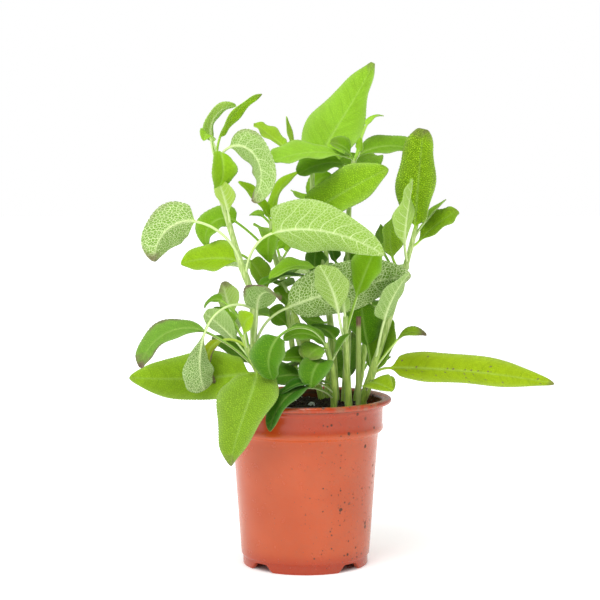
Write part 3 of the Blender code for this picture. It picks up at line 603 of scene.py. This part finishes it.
STEMS["stem_front"] = Stem([(26, -14, 96), (25, -14, 119), (24, -16, 138), (24, -18, 153)], 2.2, 1.3, [
    Leaf(136, 250, 45, 23, -20, 34, 10, -45, 22, 20, 0.6, 0.1, 0.2, 0, 0.35, full=0.6, tip=0.2),
    Leaf(141, 330, 75, 24, 5, 33, 5, 15, 22, 70, 0.42, 0, 0.05, 0, 0.12, full=0.6, tip=0.25),
    Leaf(131, 125, 20, 14, -25, 20, 50, 55, 14, -10, 0.2, 0, 0, 0, 0.3),
    Leaf(151, 250, 70, 5, 0, 14, 10, 0, 8, 0, 0.7, 0.2, 0, 0, 0.3),
])
STEMS["stem_front_low"] = Stem([(17, -20, 96), (17, -20, 112), (15, -20, 126), (12, -20, 137)], 1.9, 1.3, [
    Leaf(135, 220, 60, 42, 95, 28, 90, -10, 25, -15, 0.14, 0.1, 0, 0, 0.3, full=0.42),
    Leaf(132, 220, 70, 4, 60, 15, 70, -5, 18, -20, 0.6, 0.4, 0, 0.22, 0.5, full=0.6, tip=0.4),
    Leaf(125, 320, 60, 5, 0, 18, 20, 0, 14, 40, 0.25, 0, 0, 0, 0.3),
    Leaf(124, 240, 40, 8, 30, 26, 100, 0, 20, -10, 0.15, 0.1, 0, 0, 0.4, full=0.45),
    Leaf(122, 180, 30, 8, 5, 24, 40, 10, 18, -25, 0.3, 0, 0, 0, 0.3, full=0.5),
    Leaf(112, 190, 20, 21, 10, 24, 35, 10, 20, -30, 0.1, 0.1, 0, 0, 0.3),
    Leaf(103, 226, 40, 24, 35, 42, 85, -10, 18, -5, 0, 0.1, 0, 0.1, 0.4),
    Leaf(107, 225, 45, 13, 25, 31, 55, -20, 12, -10, 0, 0, 0, 0, 0.3),
    Leaf(132, 175, 70, 4, 15, 28, 95, 10, 18, -25, 0.3, 0.1, 0, 0, 0.3, full=0.5),
])
STEMS["stem_back_left"] = Stem([(-5, 26, 96), (-7, 28, 120), (-12, 31, 160), (-16, 32, 186)], 2.0, 1.2, [
    Leaf(184, 110, 60, 8, 20, 38, 40, 0, 22, 15, 0.75, 0.1, 0, 0, 0.4),
    Leaf(182, 40, 60, 8, 10, 26, 40, 20, 16, -20, 0.8, 0, 0.1, 0, 0.3),
    Leaf(168, 150, 25, 14, 0, 36, 35, -20, 24, 20, 0.6, 0.2, 0, 0.1, 0.5),
    Leaf(166, 75, 50, 14, 30, 46, 45, 0, 26, -15, 0.5, 0.2, 0, 0, 0.5),
    Leaf(144, 140, 20, 18, 10, 34, 80, 10, 22, -10, 0.5, 0.3, 0, 0, 0.6),
    Leaf(141, 190, 65, 4, 15, 15, 20, -5, 18, -45, 0.4, 0.2, 0, 0.1, 0.5, full=0.5),
    Leaf(118, 200, -10, 15, -30, 43, -10, -5, 20, -40, 0.4, 0.4, 0, 0.2, 0.6, full=0.5),
    Leaf(112, 250, 50, 10, 20, 24, 60, 0, 18, 0, 0.2, 0.1, 0, 0, 0.4),
])
STEMS["stem_back"] = Stem([(14, 34, 96), (16, 39, 130), (14, 44, 175), (11, 44, 208)], 2.1, 1.2, [
    Leaf(206, 130, 65, 6, 20, 32, 30, 0, 20, 10, 0.8, 0, 0, 0, 0.3),
    Leaf(204, 355, 90, 17, -30, 22, 135, 10, 15, 40, 0.8, 0.1, 0, 0, 0.3),
    Leaf(186, 85, 55, 14, 40, 46, 35, 10, 28, -20, 0.6, 0.1, 0, 0.1, 0.5),
    Leaf(166, 70, 20, 14, 0, 44, 55, 0, 26, 20, 0.5, 0.2, 0, 0, 0.5),
    Leaf(146, 210, -25, 4, -30, 18, -25, -15, 18, -40, 0.4, 0.3, 0, 0.1, 0.6, full=0.5),
    Leaf(106, 340, 15, 7, -30, 32, -50, 0, 22, 60, 0.35, 0.4, 0, 0.2, 0.6, full=0.45),
])
STEMS["stem_back_right"] = Stem([(32, 21, 96), (36, 26, 122), (40, 32, 155), (42, 34, 186)], 2.0, 1.2, [
    Leaf(184, 120, 60, 6, 20, 28, 30, 0, 18, -15, 0.8, 0.1, 0, 0, 0.3),
    Leaf(182, 50, 60, 8, 10, 24, 40, 20, 14, 15, 0.8, 0.1, 0, 0, 0.3),
    Leaf(164, 55, 50, 14, 30, 38, 40, 20, 24, -25, 0.5, 0.2, 0, 0, 0.5),
    Leaf(148, 85, 25, 16, 0, 42, 80, 0, 24, 15, 0.45, 0.3, 0, 0.1, 0.6),
    Leaf(128, 75, 40, 20, 20, 38, 75, 20, 24, -15, 0.4, 0.3, 0, 0, 0.5),
    Leaf(112, 70, 25, 16, 0, 36, 60, 20, 22, 20, 0.35, 0.4, 0, 0.2, 0.6),
])


def smooth_path(points, per_span):
    """A Catmull-Rom curve through the points, per_span steps between each two."""
    points = [Vector(p) for p in points]
    ends = [2 * points[0] - points[1]] + points + [2 * points[-1] - points[-2]]
    curve = []
    for a, b, c, d in zip(ends, ends[1:], ends[2:], ends[3:]):
        for i in range(per_span):
            t = i / per_span
            curve.append(0.5 * (2 * b + (c - a) * t + (2 * a - 5 * b + 4 * c - d) * t * t
                                + (3 * b - a - 3 * c + d) * t ** 3))
    curve.append(points[-1])
    return curve


def stem_line(stem, per_span=12):
    """The stem's middle line: straight down its hole in the soil, then along its path."""
    x, y, ground = stem.path[0]
    foot_point = [Vector((x, y, ground - STEM_HOLE_DEPTH))]
    return foot_point + smooth_path([(x, y, ground + 3)] + list(stem.path[1:]), per_span)


def direction(rise, heading):
    rise, heading = np.radians(rise), np.radians(heading)
    level = np.cos(rise)
    return np.stack([level * np.cos(heading), level * np.sin(heading), np.sin(rise) + 0 * heading], -1)


def midline(root, leaf, stalk_steps, blade_steps):
    """Points, sideways and upward directions along stalk and blade, and each point's share of the blade."""
    stalk = np.linspace(0, 1, stalk_steps + 1)
    blade = 1 - (1 - np.linspace(0, 1, blade_steps + 1)) ** 1.12
    middle = (stalk[1:] + stalk[:-1]) / 2
    steps = direction(leaf.rise - leaf.arch * middle, leaf.heading + 0 * middle) * leaf.stalk / stalk_steps
    middle = (blade[1:] + blade[:-1]) / 2
    rise = leaf.rise - leaf.arch
    along = direction(rise - leaf.droop * middle, leaf.heading + leaf.sweep * middle)
    steps = np.vstack([steps, along * (leaf.blade * np.diff(blade))[:, None]])
    points = np.vstack([np.array(root), np.array(root) + np.cumsum(steps, 0)])
    rises = np.concatenate([leaf.rise - leaf.arch * stalk, rise - leaf.droop * blade[1:]])
    headings = np.concatenate([leaf.heading + 0 * stalk, leaf.heading + leaf.sweep * blade[1:]])
    along = direction(rises, headings)
    turn = np.radians(headings)
    level = np.stack([np.sin(turn), -np.cos(turn), 0 * turn], -1)
    upper = np.cross(level, along)
    roll = math.radians(leaf.roll)
    side = level * math.cos(roll) - upper * math.sin(roll)
    normal = upper * math.cos(roll) + level * math.sin(roll)
    return points, side, normal, np.concatenate([0 * stalk, blade[1:]])


def breadth_at(share, leaf):
    """Half the blade's breadth along it, as a share of its greatest half width, and the outline's station."""
    outline = SMALL_OUTLINE if leaf.blade < SMALL_BLADE else BLADE_OUTLINE
    share = share ** (math.log(USUAL_FULL) / math.log(leaf.full))
    knots, values = np.array([(0.0, 0.06)] + outline).T
    slopes = np.gradient(values, knots)
    k = np.clip(np.searchsorted(knots, share, side="right") - 1, 0, len(knots) - 2)
    span = knots[k + 1] - knots[k]
    t = (share - knots[k]) / span
    curve = ((2 * t ** 3 - 3 * t ** 2 + 1) * values[k] + (t ** 3 - 2 * t ** 2 + t) * span * slopes[k]
             + (3 * t ** 2 - 2 * t ** 3) * values[k + 1] + (t ** 3 - t ** 2) * span * slopes[k + 1])
    start, height = outline[-2]
    tip = height * np.clip((1 - share) / (1 - start), 0, 1) ** 0.62
    breadth = np.where(share > start, tip, np.clip(curve, 0.02, 1.1))
    return breadth + (leaf.tip - USUAL_TIP) * share ** 3, k - 1 + t


def tube(rings):
    """The points, quads and end caps of a tube through the rings of points."""
    rows, count = rings.shape[:2]
    index = np.arange(rows * count).reshape(rows, count)
    nxt = np.roll(index, -1, 1)
    quads = np.stack([index[:-1], nxt[:-1], nxt[1:], index[1:]], -1).reshape(-1, 4)
    return rings.reshape(-1, 3), quads, [index[0, ::-1], index[-1]]


UPPER, UNDERSIDE, STALK = range(3)  # the places of a leafy stem's materials
# What the materials read at each point: the net's depth, where the side veins, the midrib, burns and the pale
# margin lie, and the leaf's looks, among them how lit the leaf is painted. The pale margin is partly pale
# down and partly a painted sheen.
MARKS = ("net", "veined", "phase", "rib", "scorch", "margin", "light", "grey", "gold")


def leaf_mesh(root, leaf, salt):
    """One leaf, a stalk that flattens and widens into the blade: its points, faces, materials and marks."""
    stalk_steps = max(3, int(leaf.stalk / STALK_STEP))
    blade_steps = max(12, int(leaf.blade / MESH_STEP))
    half_columns = max(6, int(leaf.width / 2 / MESH_STEP))
    points, side, normal, share = midline(root, leaf, stalk_steps, blade_steps)
    spread = np.linspace(-1, 1, 2 * half_columns + 1)
    u = (np.sign(spread) * np.abs(spread) ** 1.25)[None, :]
    far_half = np.where(u > 0, 1.0, 0.0)
    breadth, station = breadth_at(share, leaf)
    s = share[:, None]
    y = s * leaf.blade
    half = leaf.width / 2 * breadth[:, None]
    # The margin's minute scallops and a slow unevenness.
    scallops = 1 + (0.5 * np.abs(np.sin(math.pi * y / SCALLOP + salt)) - 0.3) / (leaf.width / 2)
    drift = 1 + 0.03 * np.sin(y / leaf.blade * 9 + salt * 2.1 + 1.3 * far_half)
    half = half * np.where(s > 0.04, scallops * drift, 1)
    x = u * half
    ripple = np.sin(2.3 * station[:, None] + 1.9 * far_half + leaf.heading)
    lift = leaf.fold * half * (np.sqrt(u * u + 0.004) - 0.063)
    lift += EDGE_WAVE * leaf.width * u * u * breadth[:, None] * ripple
    # Side veins leave the midrib every few millimetres and bend towards the tip; between them it is quilted.
    spacing = np.clip(leaf.blade / VEIN_PAIRS, *VEIN_SPACING)
    phase = (y - 0.5 * np.abs(x) - 0.9 * x * x / leaf.width) / spacing
    phase = phase + 0.12 * np.sin(y / 5 + salt) + 0.1 * np.sin(np.abs(x) / 2.2 + salt)
    turned = phase + 0.5 * (x > 0)
    from_vein = np.abs(turned - np.floor(turned) - 0.5)
    veined = (1 - 0.6 * np.abs(u)) * smoothstep(0.03, 0.12, s)
    vein = np.exp(-(from_vein * spacing / VEIN_WIDTH) ** 2) * veined
    quilt = np.cos(math.pi * (0.5 - from_vein) * 2) * 0.5 + 0.5
    blade = smoothstep(0.0, 0.07, s) * np.ones_like(u)
    rib = np.clip(1 - 0.85 * s, 0.05, 1)
    rib_height = np.sqrt(np.clip((PETIOLE_RADIUS * 0.85 * rib) ** 2 - x * x, 0, None))
    thick = BLADE_THICK / 2 * (1 - 0.45 * u * u)
    rough = min(leaf.width / 30, 1.0) * (1 - np.abs(u) ** 3)
    groove = RIB_GROOVE * rib * np.exp(-(x / 0.7) ** 2)
    top_height = lift + thick + (QUILT_RISE * (1 - quilt) - VEIN_SINK * vein) * rough - groove
    low_height = lift - thick + (QUILT_RISE * (1 - quilt) - VEIN_RISE * vein) * rough - rib_height
    # The stalk: round, a little hollowed along the top.
    round_x = PETIOLE_RADIUS * 0.9 * np.sin(u * math.pi / 2)
    round_z = PETIOLE_RADIUS * np.sqrt(np.clip(1 - 0.94 * np.sin(u * math.pi / 2) ** 2, 0, None))
    across = x * blade + round_x * (1 - blade)
    top_height = top_height * blade + (round_z - STALK_GROOVE * np.exp(-(round_x / 0.4) ** 2)) * (1 - blade)
    low_height = low_height * blade - round_z * (1 - blade)
    base = points[:, None] + side[:, None] * across[:, :, None]
    upper = base + normal[:, None] * top_height[:, :, None]
    lower = base + normal[:, None] * low_height[:, :, None]
    rows, columns = across.shape

    def both(value):
        """The value at each point, lower face first, as the rings run."""
        value = value * np.ones((rows, columns))
        return np.concatenate([value, value[:, ::-1]], 1).ravel()

    ragged = 0.5 + 0.5 * np.sin(y * 0.9 + 3 * np.sin(x * 0.35 + salt) + salt)
    from_tip = (1 - s) * leaf.blade
    tip_burn = smoothstep(6 + 10 * leaf.scorch, 0.5, from_tip + 2.5 * ragged) * min(1, 2.2 * leaf.scorch)
    margin_run = smoothstep(0.45, 0.85, 0.5 + 0.5 * np.sin(y / 6.5 + salt * 1.7 + 2.4 * far_half))
    edge_burn = smoothstep(0.8, 1.0, np.abs(u) + 0.08 * ragged) * smoothstep(0.25, 0.7, leaf.scorch)
    marks = dict(zip(MARKS, map(both, (
        blade * (0.2 + 0.8 * leaf.net), veined * blade, phase,
        np.exp(-(x / (0.55 + 0.5 * rib)) ** 2) * (1 - 0.6 * s),
        np.clip(np.maximum(tip_burn, edge_burn * margin_run), 0, 1),
        np.abs(u) ** 6 * blade, leaf.light, leaf.grey, leaf.gold))))
    net_cell = np.clip(leaf.width / NET_ACROSS, *NET_CELL)
    flat = np.stack([both(x / net_cell), both((y - 0.5 * np.abs(x)) / net_cell) + salt * 37.0], -1)
    points, quads, caps = tube(np.concatenate([lower, upper[:, ::-1]], 1))
    kinds = ([UNDERSIDE] * columns + [UPPER] * columns) * (rows - 1)
    return points, quads, caps, kinds, [STALK, UPPER], marks, flat


def stem_mesh(stem, salt, sides=16):
    """A stem with four soft corners, thicker where leaves leave it, in the same terms as a leaf."""
    line = stem_line(stem)
    rings = []
    sideways = Vector((1, 0, 0))
    for i, point in enumerate(line):
        along = (line[min(i + 1, len(line) - 1)] - line[max(i - 1, 0)]).normalized()
        sideways = (sideways - along * sideways.dot(along)).normalized()
        other = along.cross(sideways)
        share = i / (len(line) - 1)
        radius = stem.base_radius + (stem.tip_radius - stem.base_radius) * share
        swell = sum(math.exp(-((point.z - leaf.height) / 2.2) ** 2) for leaf in stem.leaves)
        radius *= 1 + JOINT_SWELL * min(swell, 1.2)
        ring = []
        for k in range(sides):
            angle = 2 * math.pi * k / sides
            square = 1 + SQUARE_CORNERS * math.cos(4 * angle)
            ring.append(point + radius * square * (math.cos(angle) * sideways + math.sin(angle) * other))
        rings.append([tuple(p) for p in ring])
    points, quads, caps = tube(np.array(rings))
    around = np.tile(np.arange(sides) / sides * 2 * math.pi * stem.base_radius, len(line))
    flat = np.stack([around, points[:, 2] + salt * 37.0], -1)
    marks = {key: np.zeros(len(points)) for key in MARKS}
    return points, quads, caps, [STALK] * len(quads), [STALK, STALK], marks, flat


def leafy_stem(name, stem, materials, salt):
    """One piece: the stem and all its leaves, with the marks that its materials read as attributes."""
    line = stem_line(stem)
    parts = [stem_mesh(stem, salt)]
    for number, leaf in enumerate(stem.leaves):
        root = min(line, key=lambda p: abs(p.z - leaf.height))
        parts.append(leaf_mesh(tuple(root), leaf, salt * 13 + number))
    points, quads, caps, kinds, cap_kinds, marks, flat = zip(*parts)
    starts = np.cumsum([0] + [len(p) for p in points])
    faces = np.concatenate([q + start for q, start in zip(quads, starts)]).tolist()
    faces += [(cap + start).tolist() for ends, start in zip(caps, starts) for cap in ends]
    mesh = bpy.data.meshes.new(name)
    mesh.from_pydata((np.concatenate(points) * MM).tolist(), [], faces)
    mesh.polygons.foreach_set("material_index", sum(kinds + cap_kinds, []))
    for key in MARKS:
        attribute = mesh.attributes.new(key, "FLOAT", "POINT")
        attribute.data.foreach_set("value", np.concatenate([m[key] for m in marks]).astype(np.float32))
    corner = np.zeros(len(mesh.loops), np.int32)
    mesh.loops.foreach_get("vertex_index", corner)
    layer = mesh.uv_layers.new(name="net_cells")
    layer.data.foreach_set("uv", np.concatenate(flat)[corner].astype(np.float32).ravel())
    for made in materials:
        mesh.materials.append(made)
    mesh.shade_smooth()
    return in_scene(name, mesh)


def cell_edges(flat, scale):
    """How far a point of the blade lies from the nearest vein of its net."""
    given = {"Vector": flat, "Scale": scale}
    return follow("ShaderNodeTexVoronoi", given, feature="DISTANCE_TO_EDGE", voronoi_dimensions="2D")[0]


# A face's colours: in shade, fully light, under felt, yellowed, and the slow blotches in it.
UPPER_COLOURS = [colour(code) for code in ("#2E7000", "#A6DC1E", "#7DAE5A", "#B8C60C", "#6E7A1C")]
UNDER_COLOURS = [colour(code) for code in ("#6A9A26", "#A8D244", "#A4C66C", "#BCC838", "#7E9A50")]
# A deep green for the leaf's fine grain, and for painted shade along the upper face's sunken side veins.
GRAIN_AND_VEIN_SHADE = colour("#1F5200")
UPPER_GROOVE_SHADE = colour("#134600")
UPPER_DOME_HIGHLIGHT = colour("#D0F250")
UPPER_RIB = colour("#B9DA74")
UNDER_POCKET = colour("#2F7408")
UNDER_NET = colour("#E4F6B6")
UNDER_RIB = colour("#DEF0AE")
MARGIN_DOWN_AND_SHEEN = colour("#D5E6B0")
BURNT_DARK = colour("#46382A")
BURNT_PALE = colour("#8E7C64")
DOWN_TINT = colour("#F4FAE6")


def blade_material(name, under):
    """Living leaf: a soft satin skin, pebbled between the net veins and dulled by a felt of fine hairs. Its
    colour
    holds painted light and shade: each leaf between a shaded and a lit colour, painted shade in the pebbles'
    grooves and along the sunken side veins, painted highlights on the pebbles' domes, and a painted sheen
    with the pale down at the margin.
    """
    made, shader, place = new_material(
        name, IOR=1.4, Roughness=0.62 if under else 0.5, Specular_IOR_Level=0.2 if under else 0.12,
        Sheen_Weight=0.06 if under else 0.02, Sheen_Roughness=0.45, Sheen_Tint=DOWN_TINT)
    tree = made.node_tree
    marks = {key: add(tree, "ShaderNodeAttribute", attribute_name=key).outputs["Fac"] for key in MARKS}
    net, rib = marks["net"], marks["rib"]
    dark, light, felt, gold, blotch = UNDER_COLOURS if under else UPPER_COLOURS
    # Painted light and shade: each leaf's colour lies between a shaded and a lit colour, by how lit it is
    # painted.
    tone = mix(marks["light"], dark, light)
    tone = mix(times(marks["grey"], 0.6), tone, felt)
    tone = mix(times(marks["gold"], 0.8), tone, gold)
    tone = mix(ramp(noise(place, 9, 3, 0.6), 0.35, 0.75, 0, 0.3), tone, mix(0.55, tone, blotch))
    tone = mix(ramp(noise(place, 0.7, 2), 0.35, 0.65, 0, 0.2), tone, mix(0.6, tone, GRAIN_AND_VEIN_SHADE))
    flat = add(tree, "ShaderNodeUVMap", uv_map="net_cells").outputs[0]
    # The veins of the two halves spring alternately from the midrib.
    far_half = math_of("GREATER_THAN", xyz(flat)[0], 0.0)
    phase = math_of("ADD", marks["phase"], times(far_half, 0.5))
    off_vein = math_of("ABSOLUTE", math_of("SUBTRACT", math_of("FRACT", phase), 0.5))
    vein = times(ramp(off_vein, 0.01, 0.07, 1, 0), marks["veined"])
    wander = follow("ShaderNodeTexNoise", {"Vector": flat, "Scale": 0.45, "Detail": 1.0})["Color"]
    flat = vector_math("ADD", flat, vector_math("MULTIPLY", wander, (0.9,) * 3)[0])[0]
    cells = cell_edges(flat, 1.1 if under else 1.6)
    if under:
        coarse = times(ramp(cells, 0.015, 0.15, 1, 0), 0.9)
        small = times(ramp(cell_edges(flat, 2.1), 0.02, 0.14, 1, 0), 0.3)
        lines = times(math_of("MAXIMUM", coarse, small), net)
        lines = math_of("MAXIMUM", lines, times(vein, 0.8))
        tone = mix(times(net, 0.85), tone, mix(0.7, tone, UNDER_POCKET))
        tone = mix(lines, tone, UNDER_NET)
        tone = mix(times(rib, 0.95), tone, UNDER_RIB)
        height = times(lines, 0.5)
    else:
        # Painted shade in the grooves between the pebbles and a painted highlight on their domes.
        groove = times(ramp(cells, 0.02, 0.26, 1, 0), net)
        dome_highlight = times(ramp(cells, 0.2, 0.48), net)
        tone = mix(times(groove, 0.9), tone, mix(0.7, tone, UPPER_GROOVE_SHADE))
        tone = mix(times(dome_highlight, 0.5), tone, mix(0.5, tone, UPPER_DOME_HIGHLIGHT))
        # Painted shade along the sunken side veins.
        tone = mix(times(vein, 0.35), tone, mix(0.5, tone, GRAIN_AND_VEIN_SHADE))
        tone = mix(times(rib, 0.35), tone, UPPER_RIB)
        height = times(ramp(cells, 0.0, 0.4), net)
    # The margin is lightened: partly its pale down, partly a painted sheen.
    tone = mix(times(marks["margin"], 0.14), tone, MARGIN_DOWN_AND_SHEEN)
    # Small dead spots, on yellowed leaves alone.
    dots = follow("ShaderNodeTexVoronoi", {"Vector": flat, "Scale": 0.42}, voronoi_dimensions="2D")
    pick = follow("ShaderNodeSeparateColor", {0: dots["Color"]})[0]
    off_spot = math_of("SUBTRACT", dots["Distance"], ramp(pick, 0.72, 0.9, 0, 0.2))
    spot = times(ramp(off_spot, -0.08, 0.0, 1, 0), ramp(marks["gold"], 0.3, 0.8))
    burnt = mix(noise(place, 1.6, 3), BURNT_DARK, BURNT_PALE)
    tone = mix(math_of("MAXIMUM", marks["scorch"], spot), tone, burnt)
    height = math_of("ADD", height, times(noise(place, 0.45, 2), 0.25))
    to_shader(shader, Base_Color=tone, Normal=bumps(height, 0.8, 0.4))
    return made


def fibres(place, drawn_out, detail):
    """Noise in fine streaks up the stem."""
    stretched = follow("ShaderNodeMapping", {0: place, "Scale": (1, 1, drawn_out)})[0]
    return noise(stretched, 0.8, detail)


# Felted green stem: streaked along its length and dulled by down, deeper green low in the plant's shade.
stalk_matter, shader, place = new_material("felted_green_stem", Roughness=0.6, Sheen_Weight=0.4,
                                           Sheen_Roughness=0.5, Sheen_Tint=DOWN_TINT)
streaks = ramp(fibres(place, 0.12, 2), 0.3, 0.7)
height = xyz(place)[2]
shaded = mix(streaks, colour("#7FA82C"), colour("#B8D454"))
tone = mix(streaks, colour("#97B954"), colour("#CBDD90"))
to_shader(shader, Base_Color=mix(ramp(height, 0.1, 0.16), shaded, tone))
sage_materials = [blade_material("sage_leaf_upper", False), blade_material("sage_leaf_underside", True),
                  stalk_matter]
for salt, (name, stem) in enumerate(STEMS.items()):
    piece = leafy_stem("leafy_" + name, stem, sage_materials, salt + 1)
    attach(piece, "root")
    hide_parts(name)

# ---------------- the dry stub
# What is left of a stem that was cut back. It stands in the soil as the living stems do: still green and
# felted, and dried brown at the cut, where its fibres show.
STUB = Stem([(32, -10, 96), (32, -10, 126), (32, -10, 152)], 1.6, 1.4, [])
WITHER_FROM, WITHER_FULL = 149, 156  # heights between which it turns brown
points, quads, caps = stem_mesh(STUB, 20)[:3]
dry_stub = mesh_object("dry_stub", points, quads.tolist() + [cap.tolist() for cap in caps])
dry, shader, place = new_material("dried_stem", Roughness=0.85)
height = xyz(place)[2]
uneven = math_of("ADD", height, times(noise(place, 5, 2), 12 * MM))
fibre = fibres(place, 0.1, 3)
living = mix(fibre, colour("#7E9A3E"), colour("#B0C472"))
dead = mix(fibre, colour("#4A3428"), colour("#8A6E54"))
wither = ramp(uneven, WITHER_FROM * MM, WITHER_FULL * MM)
to_shader(shader, Base_Color=mix(wither, living, dead))
dry_stub.data.materials.append(dry)
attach(dry_stub, "root")
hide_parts("stem_dry_stub")

# ---------------- the floor, lights and camera
# A bright white studio: a white lit floor, white surroundings, one wide softbox overhead and a weaker one
# in front. The surroundings show pure white and light the plant less than they show. Places are in metres.
SURROUND_LIGHT = 0.58
NEAR_GLOW, FAR_GLOW = 0.42, 0.7  # the floor's own light near the pot, and far off
NEAR, FAR = 0.05, 0.6
DARK_UNDER, LIT_FROM = 0.032, 0.041  # under the pot the floor is dark
FLOOR_REACH = 4000  # millimetres
LIGHTS = (("softbox_top", (-0.25, -0.4, 1.35), 0.8, 13), ("softbox_front", (-0.8, -1.6, 0.8), 1.0, 5.5))
LIT_POINT = Vector((0, 0, 0.15))
CAMERA_AT = (-0.0033, -1.0927, 0.2499)
CAMERA_DIP = 0.081  # radians below the level
CAMERA_LENS = 108.2
SENSOR_WIDTH = 36.0

paper, shader, place = new_material("white_paper", Roughness=0.8, Base_Color=colour("#F6F6F6"),
                                    Emission_Color=(1, 1, 1, 1))
far = vector_math("LENGTH", place)["Value"]
lit = times(ramp(far, NEAR, FAR, NEAR_GLOW, FAR_GLOW), ramp(far, DARK_UNDER, LIT_FROM))
to_shader(shader, Emission_Strength=lit)
corners = [(x * FLOOR_REACH, y * FLOOR_REACH, 0) for x, y in ((-1, -1), (1, -1), (1, 1.5), (-1, 1.5))]
ground = mesh_object("floor", corners, [[0, 1, 2, 3]])
ground.data.materials.append(paper)

surroundings = bpy.data.worlds.new("white_studio")
surroundings.use_nodes = True
glow = surroundings.node_tree.nodes["Background"]
seen = add(surroundings.node_tree, "ShaderNodeLightPath").outputs["Is Camera Ray"]
strength = follow("ShaderNodeMapRange", {"Value": seen, 3: SURROUND_LIGHT, 4: 1.0})[0]
to_shader(glow, Strength=strength)
glow.inputs["Color"].default_value = (1, 1, 1, 1)
bpy.context.scene.world = surroundings
bpy.context.scene.view_settings.view_transform = "Standard"

for name, at, width, power in LIGHTS:
    light = bpy.data.lights.new(name, "AREA")
    light.shape = "SQUARE"
    light.size = width
    light.energy = power
    lamp = in_scene(name, light)
    lamp.location = at
    lamp.rotation_euler = (LIT_POINT - Vector(at)).to_track_quat("-Z", "Y").to_euler()

lens = bpy.data.cameras.new("camera")
lens.lens = CAMERA_LENS
lens.sensor_width = SENSOR_WIDTH
camera = in_scene("camera", lens)
camera.location = CAMERA_AT
camera.rotation_euler = (math.pi / 2 - CAMERA_DIP, 0, 0)
bpy.context.scene.camera = camera
